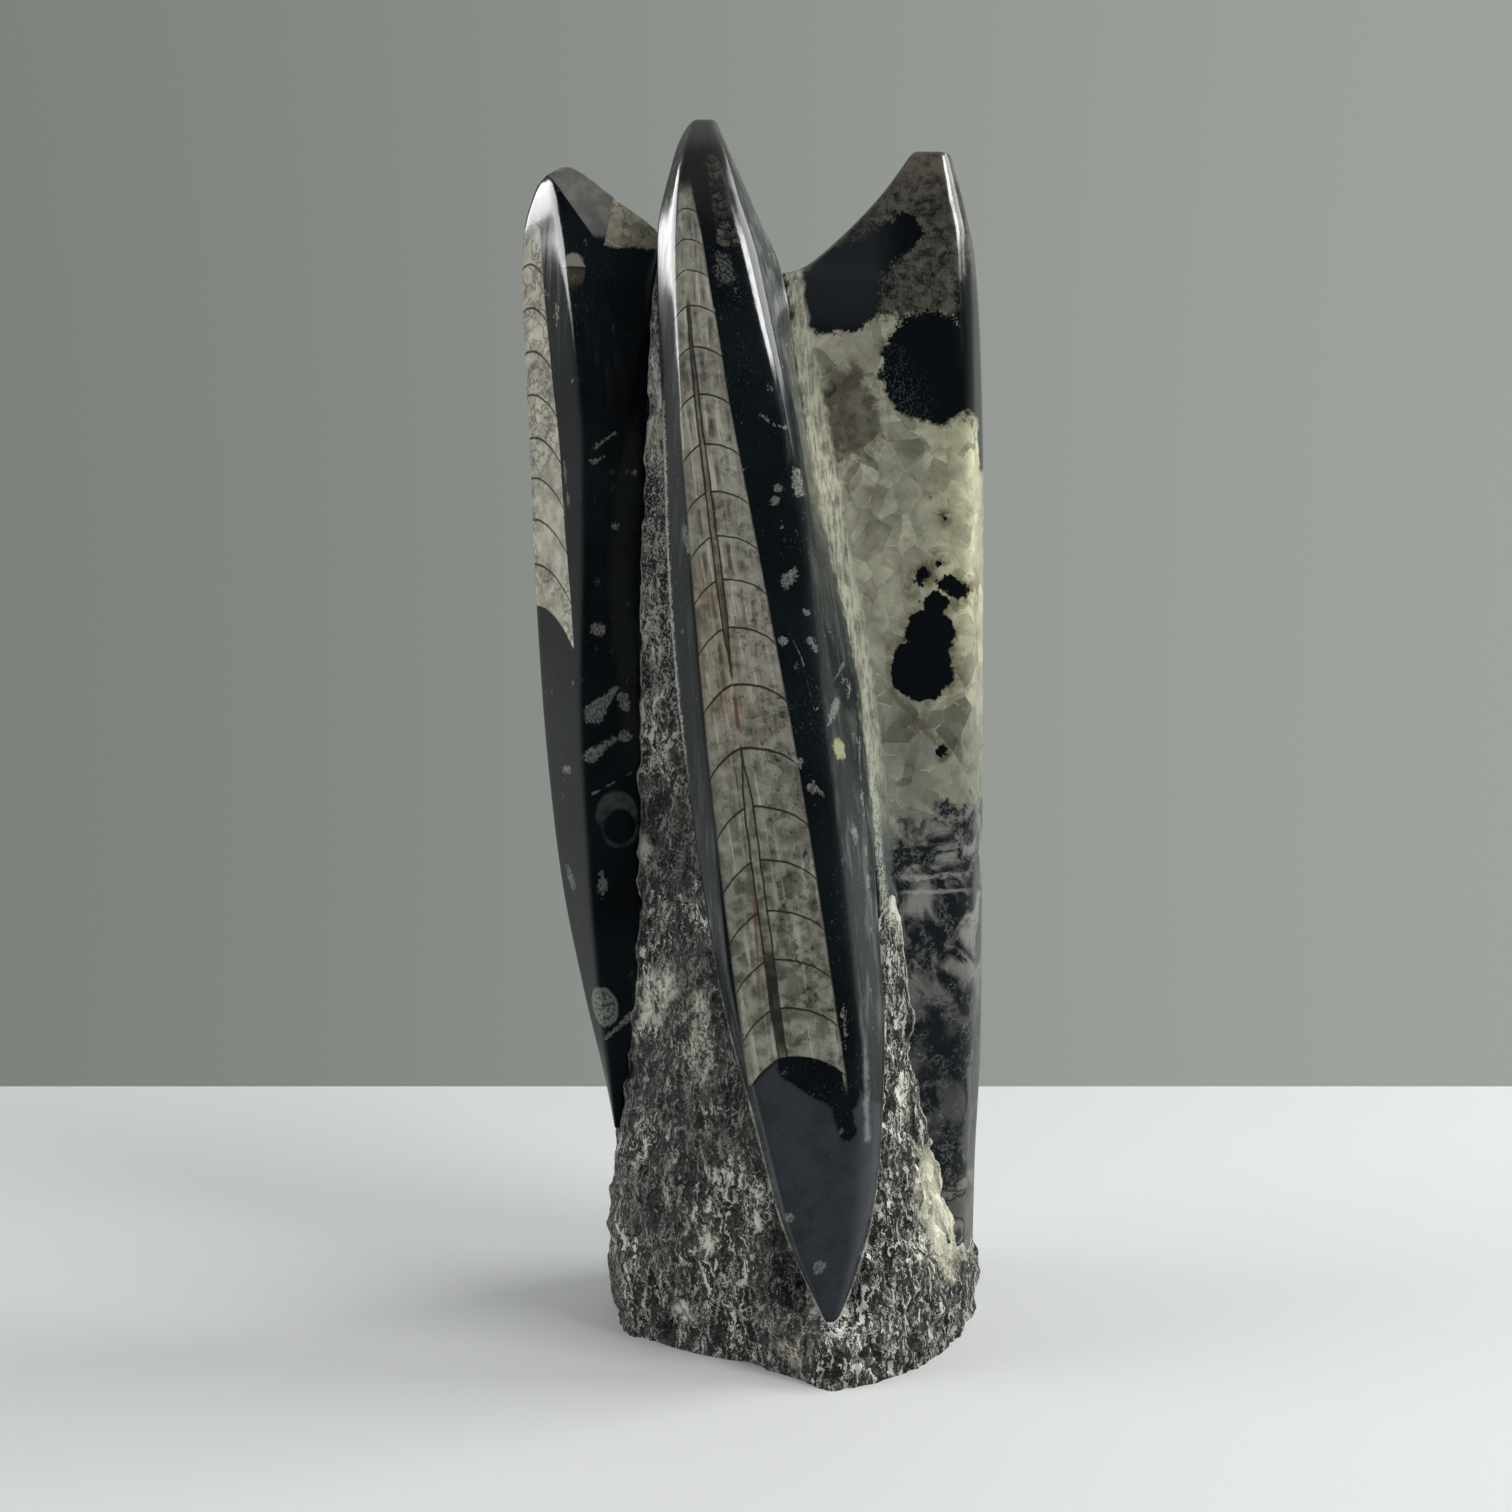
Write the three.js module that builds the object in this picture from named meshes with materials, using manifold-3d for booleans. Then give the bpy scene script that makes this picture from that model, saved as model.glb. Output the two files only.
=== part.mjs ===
// An orthoceras tower: one block of fossil limestone, carved and polished into three upright spires
// that rise out of a rough base. Millimetres, +Z up, the origin in the middle of the base.
import * as THREE from 'three';
import Module from 'manifold-3d';

// Driving dimensions
const HEIGHT = 291;
const CORE_HEIGHT = 258;
const LEFT_BLADE_HEIGHT = 283.6;
const RIGHT_BLADE_HEIGHT = 288.4;
const CHIP_DEPTH = 0.9;

// How closely the sections follow each other, low down and near a tip
const LOWER_STEP = 10;
const TIP_STEP = 3;
const TIP_ZONE = 36;

// The middle of the core, which its chipped outline moves in and out from
const CORE_CENTRE_X = 8;
const CORE_CENTRE_Y = 4;

// Every spire and the rough core is a loft through horizontal sections. A rail is one corner of the
// section on its way up, as rows of [height, x, y], and round is the radius that the corner is
// polished or worn to. The rails run anticlockwise as seen from above, starting at the left.

// The middle spire is a leaning spear: a flat front face between two bevels, drawn out to a point
// low on the right.
const SPEAR = [
  { round: 0.8, path: [
    [10, 17, -33], [33, 7, -33.5], [60, -0.4, -33], [87, -7.6, -32], [123, -13.8, -29.5],
    [169, -19.3, -26.5], [222, -21.8, -20], [262, -23.3, -14], [279, -20.4, -11], [288, -17.6, -9.2],
    [HEIGHT, -15.8, -8.5],
  ] },
  { round: 1.4, path: [
    [10, 17.3, -35], [33, 8.4, -37], [60, 1.4, -37.8], [95, -6.2, -37.4], [127, -9.2, -36],
    [154, -11.9, -34.4], [178, -14.2, -32.4], [222, -17.2, -26.5], [262, -18.9, -19.5],
    [279, -17.4, -15.5], [HEIGHT, -14.4, -11.5],
  ] },
  { round: 4.5, path: [
    [10, 17.7, -35], [33, 22.4, -36.2], [60, 24.6, -36.4], [95, 21.8, -35.8], [155, 15, -33],
    [216, 9, -26.4], [253, 0.6, -20.4], [271, -4, -17], [285, -7.6, -13.4], [HEIGHT, -9.6, -11.5],
  ] },
  { round: 2.5, path: [
    [10, 18, -33], [32, 26, -31], [52, 29.2, -28], [78, 30.2, -25.5], [111, 28.4, -21.5],
    [138, 26.8, -18], [161, 24.6, -15], [184, 19.6, -13], [207, 14.2, -11.5], [232, 10, -9.5],
    [257, 6.6, -7], [271, 0.4, -7], [282, -4.6, -7], [HEIGHT, -8.9, -7.5],
  ] },
  { round: 5, path: [
    [10, 25, 6], [60, 24, 26], [150, 17, 26], [222, 8, 19], [262, -1, 9], [279, -7, 3],
    [HEIGHT, -10, -3],
  ] },
  { round: 5, path: [
    [10, 12, 6], [60, -6, 27], [150, -14, 26], [222, -17, 18], [262, -18, 7], [279, -17, 2],
    [HEIGHT, -13.6, -3.5],
  ] },
];

// The left spire is a wedge: its ridge looks forward, one facet looks left and the other the spear.
const LEFT_BLADE = [
  { round: 1.8, path: [
    [50, -35.4, -2], [58, -37, -1.6], [83, -43, -0.6], [106, -47.8, 0.4], [136, -51.6, 1.4],
    [178, -54.6, 2.4], [220, -56.2, 3], [257, -57.8, 3.4], [268, -57.4, 3], [276, -55.4, 2.4],
    [281.6, -52.4, 2], [LEFT_BLADE_HEIGHT, -48.6, 2],
  ] },
  { round: 2.2, path: [
    [50, -34.6, -7], [83, -37.6, -12], [120, -39.7, -14.2], [155, -41, -15], [191, -40.2, -15],
    [214, -40.2, -14], [238, -42.6, -12], [266, -46.3, -7], [281.6, -48.6, -2.4],
    [LEFT_BLADE_HEIGHT, -47, -1],
  ] },
  { round: 1, path: [
    [50, -33.6, -7], [79, -29.7, -9.5], [103, -28, -9.5], [179, -27.6, -8.5], [217, -25.8, -7.5],
    [250, -25, -6], [266, -23, -4], [269.5, -26, -3.5], [273, -30.5, -3], [277, -35.6, -2.4],
    [281.6, -41.4, -1.6], [LEFT_BLADE_HEIGHT, -44.6, -1],
  ] },
  { round: 4, path: [
    [50, -28, 8], [103, -25, 18], [179, -24, 20], [240, -24, 14], [266, -22, 9], [273, -30, 9],
    [277, -35.6, 8.6], [281.6, -41.4, 7], [LEFT_BLADE_HEIGHT, -44.6, 6],
  ] },
  { round: 6, path: [
    [50, -36, 12], [103, -44, 23], [179, -50.5, 25], [240, -52.5, 19], [268, -52, 14],
    [281.6, -49.8, 8.8], [LEFT_BLADE_HEIGHT, -48.2, 7],
  ] },
];

// The right spire is the broadest: a flat front face, a hollowed margin where it leaves the spear,
// and a rounded outer edge.
const RIGHT_BLADE = [
  { round: 0.5, path: [
    [3, 16, -8], [60, 20, -17], [101, 22, -22], [138, 20, -21], [184, 13, -17], [218, 6, -13],
    [240, 3, -9], [257, 5, -4], [259.5, 11, 1], [265, 18, 3], [277, 30, 5], [RIGHT_BLADE_HEIGHT, 38, 6],
  ] },
  { round: 3, path: [
    [3, 38, -12], [60, 33.5, -14], [101, 32.6, -14.2], [120, 32, -14], [138, 30, -13.4],
    [161, 27.2, -12.2], [184, 23.4, -11], [218, 17, -9], [237, 13.4, -7.4], [255, 10.6, -5],
    [259.5, 13, -3], [265, 18.6, -1.6], [277, 29.8, 0.6], [RIGHT_BLADE_HEIGHT, 38.4, 2.4],
  ] },
  { round: 3.5, path: [
    [3, 50, -8], [80, 51.8, -8.6], [138, 52.2, -8.4], [184, 52, -7.6], [240, 51.6, -5.4],
    [268, 50.6, -1.6], [277, 49, 0.4], [RIGHT_BLADE_HEIGHT, 46.3, 2.4],
  ] },
  { round: 6, path: [
    [3, 56.2, 8], [40, 56.8, 8.5], [69, 58.2, 9], [194, 58, 9], [237, 57.2, 9], [255, 56.2, 9],
    [265, 55, 8.5], [277, 52, 7.5], [RIGHT_BLADE_HEIGHT, 48.4, 6],
  ] },
  { round: 6, path: [
    [3, 50, 26], [80, 53, 27], [194, 51, 26], [240, 50, 22], [265, 48.5, 17],
    [RIGHT_BLADE_HEIGHT, 45, 10.5],
  ] },
  { round: 6, path: [
    [3, 22, 28], [80, 22, 29], [194, 15, 27], [240, 9, 19], [257, 8, 11], [260, 13, 11],
    [265, 19, 11.5], [277, 31, 11.5], [RIGHT_BLADE_HEIGHT, 39, 10.5],
  ] },
];

// The rough core fills the grooves between the spires and swells into the base they stand in.
const CORE = [
  { round: 4, path: [
    [0, -37, 7], [18, -39, 8], [30, -38, 8], [50, -35.5, 6], [62, -33, 4], [90, -34, 2],
    [150, -34, 2], [CORE_HEIGHT, -30, 2],
  ] },
  { round: 4, path: [
    [0, -32, -11], [20, -34, -12], [50, -34.5, -8.5], [65, -32.5, -8.4], [79, -31.2, -9.4],
    [103, -29.6, -9.6], [179, -29.4, -8.6], [217, -27.6, -7.6], [250, -26.6, -5.6],
    [CORE_HEIGHT, -25.6, -4.4],
  ] },
  { round: 5, path: [
    [0, -14, -22], [20, -16, -23], [50, -19, -21.5], [85, -20, -18.5], [110, -20.5, -16],
    [150, -22, -13], [179, -23, -11.6], [217, -23.8, -9], [CORE_HEIGHT, -23.4, -5],
  ] },
  { round: 6, path: [
    [0, 4, -30.5], [20, 1, -33], [33, 2, -33.5], [60, -4, -29.5], [87, -8, -26], [110, -12, -21],
    [150, -16, -14], [217, -19, -10], [CORE_HEIGHT, -19, -5],
  ] },
  { round: 4, path: [
    [0, 17, -41.5], [9, 17, -40.4], [16, 17, -34], [60, 14, -28], [110, 8, -18], [150, 4, -12],
    [CORE_HEIGHT, -6, -4],
  ] },
  { round: 6, path: [
    [0, 31, -36], [14, 31, -34], [33, 31, -28.5], [60, 32, -23.5], [85, 32.4, -20.5], [100, 33, -17.6],
    [112, 33, -14.4], [125, 30, -9], [150, 26, -4], [CORE_HEIGHT, 7, -1],
  ] },
  { round: 6, path: [
    [0, 44, -23], [14, 46, -20.5], [33, 47, -12.5], [60, 41.6, -10.2], [85, 39.6, -10.6],
    [100, 38, -11], [112, 36, -11.4], [125, 35, -5], [150, 34, 2], [CORE_HEIGHT, 10, 2],
  ] },
  { round: 6, path: [
    [0, 54.5, -4], [12, 55.5, 0], [30, 52.5, 2], [60, 48, 6], [150, 40, 8], [CORE_HEIGHT, 10, 6],
  ] },
  { round: 7, path: [
    [0, 58.9, 15], [12, 58.7, 16], [30, 56, 18], [60, 52, 20], [110, 44, 18], [150, 38, 15],
    [CORE_HEIGHT, 9, 8],
  ] },
  { round: 8, path: [
    [0, 51, 33], [20, 51, 32], [60, 44, 31], [110, 34, 24], [150, 28, 20], [217, 14, 13],
    [CORE_HEIGHT, 6, 8],
  ] },
  { round: 9, path: [
    [0, 24, 41], [20, 23, 40], [60, 14, 35], [110, 6, 26], [150, 2, 20], [217, -4, 13],
    [CORE_HEIGHT, -8, 8],
  ] },
  { round: 9, path: [
    [0, -8, 39.6], [20, -9, 38.6], [60, -12, 32], [110, -15, 23], [150, -17, 18], [217, -19, 12],
    [CORE_HEIGHT, -21, 7],
  ] },
  { round: 8, path: [
    [0, -29, 27], [20, -31, 27], [60, -29, 20], [110, -30, 15], [150, -30, 12], [CORE_HEIGHT, -28, 6],
  ] },
];

// One coordinate of a rail at a height, on a smooth curve that never passes its own points.
function alongRail(rows, column, height) {
  const last = rows.length - 1;
  if (height <= rows[0][0]) return rows[0][column];
  if (height >= rows[last][0]) return rows[last][column];
  const rise = (i) => rows[i + 1][0] - rows[i][0];
  const slope = (i) => (rows[i + 1][column] - rows[i][column]) / rise(i);
  const tangent = (i) => {
    if (i === 0) return slope(0);
    if (i === last) return slope(last - 1);
    const before = slope(i - 1);
    const after = slope(i);
    if (before * after <= 0) return 0;
    const mean = (before * rise(i) + after * rise(i - 1)) / (rise(i - 1) + rise(i));
    return Math.sign(mean) * Math.min(2 * Math.abs(before), 2 * Math.abs(after), Math.abs(mean));
  };
  const i = rows.findLastIndex((row) => row[0] <= height);
  const t = (height - rows[i][0]) / rise(i);
  const bend = rise(i) * t * (1 - t);
  return (
    THREE.MathUtils.lerp(rows[i][column], rows[i + 1][column], t * t * (3 - 2 * t)) +
    bend * ((1 - t) * tangent(i) - t * tangent(i + 1))
  );
}

// The closed outline of a section: each corner becomes a short arc of the same number of points.
function section(rails, height, arcPoints, edgePoints) {
  const corners = rails.map(
    ({ path }) => new THREE.Vector2(alongRail(path, 1, height), alongRail(path, 2, height)),
  );
  const arcs = corners.map((corner, i) => {
    const toPrevious = corners.at(i - 1).clone().sub(corner);
    const toNext = corners[(i + 1) % corners.length].clone().sub(corner);
    const reach = Math.min(rails[i].round, toPrevious.length() * 0.45, toNext.length() * 0.45);
    const arc = new THREE.QuadraticBezierCurve(
      corner.clone().addScaledVector(toPrevious.normalize(), reach),
      corner,
      corner.clone().addScaledVector(toNext.normalize(), reach),
    );
    return arc.getPoints(arcPoints - 1);
  });
  return arcs.flatMap((arc, i) => {
    const from = arc.at(-1);
    const to = arcs[(i + 1) % arcs.length][0];
    const between = Array.from(
      { length: edgePoints },
      (_, k) => from.clone().lerp(to, (k + 1) / (edgePoints + 1)),
    );
    return [...arc, ...between];
  });
}

// The heights of a loft's sections, closer together near the tip.
function sectionHeights(rails) {
  const low = rails[0].path[0][0];
  const high = rails[0].path.at(-1)[0];
  const heights = [];
  for (let z = low; z < high - 0.5; z += z < high - TIP_ZONE ? LOWER_STEP : TIP_STEP) {
    heights.push(z);
  }
  heights.push(high);
  return heights;
}

// The rough core is chipped: its outline moves in and out by a sum of waves round and up it.
function chip(point, height, centre) {
  const out = point.clone().sub(centre).normalize();
  const wave =
    Math.sin(point.x * 0.53 + height * 0.31) +
    Math.sin(point.y * 0.61 - height * 0.47 + 2) +
    Math.sin((point.x + point.y) * 0.37 + height * 0.73 + 4);
  return point.clone().addScaledVector(out, (CHIP_DEPTH * (wave - 3)) / 3);
}

// A closed triangle mesh through the sections, with a flat fan at each end.
function loft(rails, { arcPoints = 4, edgePoints = 0, chipped = false } = {}) {
  const heights = sectionHeights(rails);
  const centre = new THREE.Vector2(CORE_CENTRE_X, CORE_CENTRE_Y);
  const rings = heights.map((z) =>
    section(rails, z, arcPoints, edgePoints).map((p) => (chipped ? chip(p, z, centre) : p)),
  );
  const count = rings[0].length;
  const vertProperties = [];
  const triVerts = [];
  rings.forEach((ring, level) => {
    ring.forEach((p) => vertProperties.push(p.x, p.y, heights[level]));
  });
  for (let level = 0; level + 1 < rings.length; level += 1) {
    for (let i = 0; i < count; i += 1) {
      const a = level * count + i;
      const b = level * count + ((i + 1) % count);
      triVerts.push(a, b, b + count, a, b + count, a + count);
    }
  }
  for (const level of [0, rings.length - 1]) {
    const middle = vertProperties.length / 3;
    const mean = rings[level].reduce((sum, p) => sum.add(p), new THREE.Vector2()).divideScalar(count);
    vertProperties.push(mean.x, mean.y, heights[level]);
    for (let i = 0; i < count; i += 1) {
      const a = level * count + i;
      const b = level * count + ((i + 1) % count);
      triVerts.push(...(level === 0 ? [b, a, middle] : [a, b, middle]));
    }
  }
  return new wasm.Manifold(
    new wasm.Mesh({
      numProp: 3,
      vertProperties: new Float32Array(vertProperties),
      triVerts: new Uint32Array(triVerts),
    }),
  );
}

function toGeometry(solid) {
  const mesh = solid.getMesh();
  const geometry = new THREE.BufferGeometry();
  geometry.setAttribute('position', new THREE.BufferAttribute(mesh.vertProperties, 3));
  geometry.setIndex(new THREE.BufferAttribute(mesh.triVerts, 1));
  geometry.computeVertexNormals();
  return geometry;
}

const wasm = await Module();
wasm.setup();

// The four lofts are one stone, so they are joined into one solid.
const tower = loft(CORE, { arcPoints: 3, edgePoints: 1, chipped: true })
  .add(loft(SPEAR))
  .add(loft(LEFT_BLADE))
  .add(loft(RIGHT_BLADE));

const limestone = new THREE.MeshStandardMaterial({
  name: 'polished black fossil limestone',
  color: 0x1c2226,
  roughness: 0.22,
  metalness: 0,
});

const stone = new THREE.Mesh(toGeometry(tower), limestone);
stone.name = 'orthoceras_tower';

const group = new THREE.Group();
group.name = 'orthoceras_fossil';
group.add(stone);

export default group;
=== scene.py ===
"""The orthoceras tower's looks: one carved block of black fossil limestone.

A fine mesh of the same shape as the CAD solid replaces it: three polished spires joined to a chipped,
rough core. Its four materials, one for each spire and one for the core, are solid textures in object
space, so that the shells, the pale calcite and the matrix run through the stone from face to face.
"""
import math

import bpy
import numpy as np
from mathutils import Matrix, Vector, kdtree, noise


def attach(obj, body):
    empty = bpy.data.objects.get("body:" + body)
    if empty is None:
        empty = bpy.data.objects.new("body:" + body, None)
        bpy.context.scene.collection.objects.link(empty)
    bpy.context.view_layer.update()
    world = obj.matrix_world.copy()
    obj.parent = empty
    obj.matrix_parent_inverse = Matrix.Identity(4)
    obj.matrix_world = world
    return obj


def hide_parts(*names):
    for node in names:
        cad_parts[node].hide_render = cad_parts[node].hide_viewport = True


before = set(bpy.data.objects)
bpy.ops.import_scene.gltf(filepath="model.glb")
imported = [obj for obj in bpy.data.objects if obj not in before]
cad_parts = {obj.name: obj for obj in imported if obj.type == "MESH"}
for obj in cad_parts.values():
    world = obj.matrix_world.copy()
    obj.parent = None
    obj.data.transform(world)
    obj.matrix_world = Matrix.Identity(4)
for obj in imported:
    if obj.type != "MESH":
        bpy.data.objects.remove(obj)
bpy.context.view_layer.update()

MM = 0.001

# The stone's heights, in mm.
HEIGHT = 291.0
CORE_HEIGHT = 258.0
LEFT_BLADE_HEIGHT = 283.6
RIGHT_BLADE_HEIGHT = 288.4

# The rough core, in mm: how deep its chips and flakes go, the axis that they are cut towards, the space
# between its points, and between its levels in the foot and above it. Right of CALM_SIDE the chips and
# flakes fade to CALM_SHARE of their depth as the height goes through CALM_HEIGHTS.
CHIP_DEPTH = 0.9
FLAKE_DEPTH = 1.5
CORE_CENTRE = (8.0, 4.0)
CORE_SPACING = 0.9
FOOT_HEIGHT, FOOT_STEP, NECK_STEP = 118, 0.85, 1.2
CALM_SIDE, CALM_HEIGHTS, CALM_SHARE = 18, (70.0, 95.0), 0.25

# A polished spire: the space between its levels and between its points, in mm, how far each level, counted
# in mm down from the top, is drawn in to ease the tip, and how its faces sway, as (waves per mm, mm).
SPIRE_STEP, SPIRE_SPACING = 2.0, 2.2
TIP_EASE = [(1.2, 0.0), (0.45, 0.05), (0.15, 0.2), (0.0, 0.6)]
SWAY = [(0.045, 0.35), (0.13, 0.05)]

# The points on a rounded corner, the least angle of a sharp arris, in degrees, and how much the larger faces
# rule the shading.
CORNER_POINTS = 6
ARRIS_ANGLE = 38.0
FACE_WEIGHT = 80

# The stone's shape, in millimetres: the same rails as the CAD model, rows of (height, x, y), each with the
# radius that its corner is polished or worn to. They run anticlockwise seen from above, from the left.

# The middle spire is a leaning spear: a flat front face between two bevels, drawn out to a point
# low on the right.
SPEAR = [
    (0.8, [
        (10, 17, -33), (33, 7, -33.5), (60, -0.4, -33), (87, -7.6, -32), (123, -13.8, -29.5),
        (169, -19.3, -26.5), (222, -21.8, -20), (262, -23.3, -14), (279, -20.4, -11),
        (288, -17.6, -9.2), (HEIGHT, -15.8, -8.5),
    ]),
    (1.4, [
        (10, 17.3, -35), (33, 8.4, -37), (60, 1.4, -37.8), (95, -6.2, -37.4), (127, -9.2, -36),
        (154, -11.9, -34.4), (178, -14.2, -32.4), (222, -17.2, -26.5), (262, -18.9, -19.5),
        (279, -17.4, -15.5), (HEIGHT, -14.4, -11.5),
    ]),
    (4.5, [
        (10, 17.7, -35), (33, 22.4, -36.2), (60, 24.6, -36.4), (95, 21.8, -35.8), (155, 15, -33),
        (216, 9, -26.4), (253, 0.6, -20.4), (271, -4, -17), (285, -7.6, -13.4), (HEIGHT, -9.6, -11.5),
    ]),
    (2.5, [
        (10, 18, -33), (32, 26, -31), (52, 29.2, -28), (78, 30.2, -25.5), (111, 28.4, -21.5),
        (138, 26.8, -18), (161, 24.6, -15), (184, 19.6, -13), (207, 14.2, -11.5), (232, 10, -9.5),
        (257, 6.6, -7), (271, 0.4, -7), (282, -4.6, -7), (HEIGHT, -8.9, -7.5),
    ]),
    (5, [
        (10, 25, 6), (60, 24, 26), (150, 17, 26), (222, 8, 19), (262, -1, 9), (279, -7, 3),
        (HEIGHT, -10, -3),
    ]),
    (5, [
        (10, 12, 6), (60, -6, 27), (150, -14, 26), (222, -17, 18), (262, -18, 7), (279, -17, 2),
        (HEIGHT, -13.6, -3.5),
    ]),
]

# The left spire is a wedge: its ridge looks forward, one facet looks left and the other the spear.
LEFT_BLADE = [
    (1.8, [
        (50, -35.4, -2), (58, -37, -1.6), (83, -43, -0.6), (106, -47.8, 0.4), (136, -51.6, 1.4),
        (178, -54.6, 2.4), (220, -56.2, 3), (257, -57.8, 3.4), (268, -57.4, 3), (276, -55.4, 2.4),
        (281.6, -52.4, 2), (LEFT_BLADE_HEIGHT, -48.6, 2),
    ]),
    (2.2, [
        (50, -34.6, -7), (83, -37.6, -12), (120, -39.7, -14.2), (155, -41, -15), (191, -40.2, -15),
        (214, -40.2, -14), (238, -42.6, -12), (266, -46.3, -7), (281.6, -48.6, -2.4),
        (LEFT_BLADE_HEIGHT, -47, -1),
    ]),
    (1, [
        (50, -33.6, -7), (79, -29.7, -9.5), (103, -28, -9.5), (179, -27.6, -8.5), (217, -25.8, -7.5),
        (250, -25, -6), (266, -23, -4), (269.5, -26, -3.5), (273, -30.5, -3), (277, -35.6, -2.4),
        (281.6, -41.4, -1.6), (LEFT_BLADE_HEIGHT, -44.6, -1),
    ]),
    (4, [
        (50, -28, 8), (103, -25, 18), (179, -24, 20), (240, -24, 14), (266, -22, 9), (273, -30, 9),
        (277, -35.6, 8.6), (281.6, -41.4, 7), (LEFT_BLADE_HEIGHT, -44.6, 6),
    ]),
    (6, [
        (50, -36, 12), (103, -44, 23), (179, -50.5, 25), (240, -52.5, 19), (268, -52, 14),
        (281.6, -49.8, 8.8), (LEFT_BLADE_HEIGHT, -48.2, 7),
    ]),
]

# The right spire is the broadest: a flat front face, a hollowed margin where it leaves the spear,
# and a rounded outer edge.
RIGHT_BLADE = [
    (0.5, [
        (3, 16, -8), (60, 20, -17), (101, 22, -22), (138, 20, -21), (184, 13, -17), (218, 6, -13),
        (240, 3, -9), (257, 5, -4), (259.5, 11, 1), (265, 18, 3), (277, 30, 5),
        (RIGHT_BLADE_HEIGHT, 38, 6),
    ]),
    (3, [
        (3, 38, -12), (60, 33.5, -14), (101, 32.6, -14.2), (120, 32, -14), (138, 30, -13.4),
        (161, 27.2, -12.2), (184, 23.4, -11), (218, 17, -9), (237, 13.4, -7.4), (255, 10.6, -5),
        (259.5, 13, -3), (265, 18.6, -1.6), (277, 29.8, 0.6), (RIGHT_BLADE_HEIGHT, 38.4, 2.4),
    ]),
    (3.5, [
        (3, 50, -8), (80, 51.8, -8.6), (138, 52.2, -8.4), (184, 52, -7.6), (240, 51.6, -5.4),
        (268, 50.6, -1.6), (277, 49, 0.4), (RIGHT_BLADE_HEIGHT, 46.3, 2.4),
    ]),
    (6, [
        (3, 56.2, 8), (40, 56.8, 8.5), (69, 58.2, 9), (194, 58, 9), (237, 57.2, 9), (255, 56.2, 9),
        (265, 55, 8.5), (277, 52, 7.5), (RIGHT_BLADE_HEIGHT, 48.4, 6),
    ]),
    (6, [
        (3, 50, 26), (80, 53, 27), (194, 51, 26), (240, 50, 22), (265, 48.5, 17),
        (RIGHT_BLADE_HEIGHT, 45, 10.5),
    ]),
    (6, [
        (3, 22, 28), (80, 22, 29), (194, 15, 27), (240, 9, 19), (257, 8, 11), (260, 13, 11),
        (265, 19, 11.5), (277, 31, 11.5), (RIGHT_BLADE_HEIGHT, 39, 10.5),
    ]),
]

# The rough core fills the grooves between the spires and swells into the base they stand in.
CORE = [
    (4, [
        (0, -37, 7), (18, -39, 8), (30, -38, 8), (50, -35.5, 6), (62, -33, 4), (90, -34, 2),
        (150, -34, 2), (CORE_HEIGHT, -30, 2),
    ]),
    (4, [
        (0, -32, -11), (20, -34, -12), (50, -34.5, -8.5), (65, -32.5, -8.4), (79, -31.2, -9.4),
        (103, -29.6, -9.6), (179, -29.4, -8.6), (217, -27.6, -7.6), (250, -26.6, -5.6),
        (CORE_HEIGHT, -25.6, -4.4),
    ]),
    (5, [
        (0, -14, -22), (20, -16, -23), (50, -19, -21.5), (85, -20, -18.5), (110, -20.5, -16),
        (150, -22, -13), (179, -23, -11.6), (217, -23.8, -9), (CORE_HEIGHT, -23.4, -5),
    ]),
    (6, [
        (0, 4, -30.5), (20, 1, -33), (33, 2, -33.5), (60, -4, -29.5), (87, -8, -26), (110, -12, -21),
        (150, -16, -14), (217, -19, -10), (CORE_HEIGHT, -19, -5),
    ]),
    (4, [
        (0, 17, -41.5), (9, 17, -40.4), (16, 17, -34), (60, 14, -28), (110, 8, -18), (150, 4, -12),
        (CORE_HEIGHT, -6, -4),
    ]),
    (6, [
        (0, 31, -36), (14, 31, -34), (33, 31, -28.5), (60, 32, -23.5), (85, 32.4, -20.5),
        (100, 33, -17.6), (112, 33, -14.4), (125, 30, -9), (150, 26, -4), (CORE_HEIGHT, 7, -1),
    ]),
    (6, [
        (0, 44, -23), (14, 46, -20.5), (33, 47, -12.5), (60, 41.6, -10.2), (85, 39.6, -10.6),
        (100, 38, -11), (112, 36, -11.4), (125, 35, -5), (150, 34, 2), (CORE_HEIGHT, 10, 2),
    ]),
    (6, [
        (0, 54.5, -4), (12, 55.5, 0), (30, 52.5, 2), (60, 48, 6), (150, 40, 8), (CORE_HEIGHT, 10, 6),
    ]),
    (7, [
        (0, 58.9, 15), (12, 58.7, 16), (30, 56, 18), (60, 52, 20), (110, 44, 18), (150, 38, 15),
        (CORE_HEIGHT, 9, 8),
    ]),
    (8, [
        (0, 51, 33), (20, 51, 32), (60, 44, 31), (110, 34, 24), (150, 28, 20), (217, 14, 13),
        (CORE_HEIGHT, 6, 8),
    ]),
    (9, [
        (0, 24, 41), (20, 23, 40), (60, 14, 35), (110, 6, 26), (150, 2, 20), (217, -4, 13),
        (CORE_HEIGHT, -8, 8),
    ]),
    (9, [
        (0, -8, 39.6), (20, -9, 38.6), (60, -12, 32), (110, -15, 23), (150, -17, 18), (217, -19, 12),
        (CORE_HEIGHT, -21, 7),
    ]),
    (8, [
        (0, -29, 27), (20, -31, 27), (60, -29, 20), (110, -30, 15), (150, -30, 12),
        (CORE_HEIGHT, -28, 6),
    ]),
]


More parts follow.
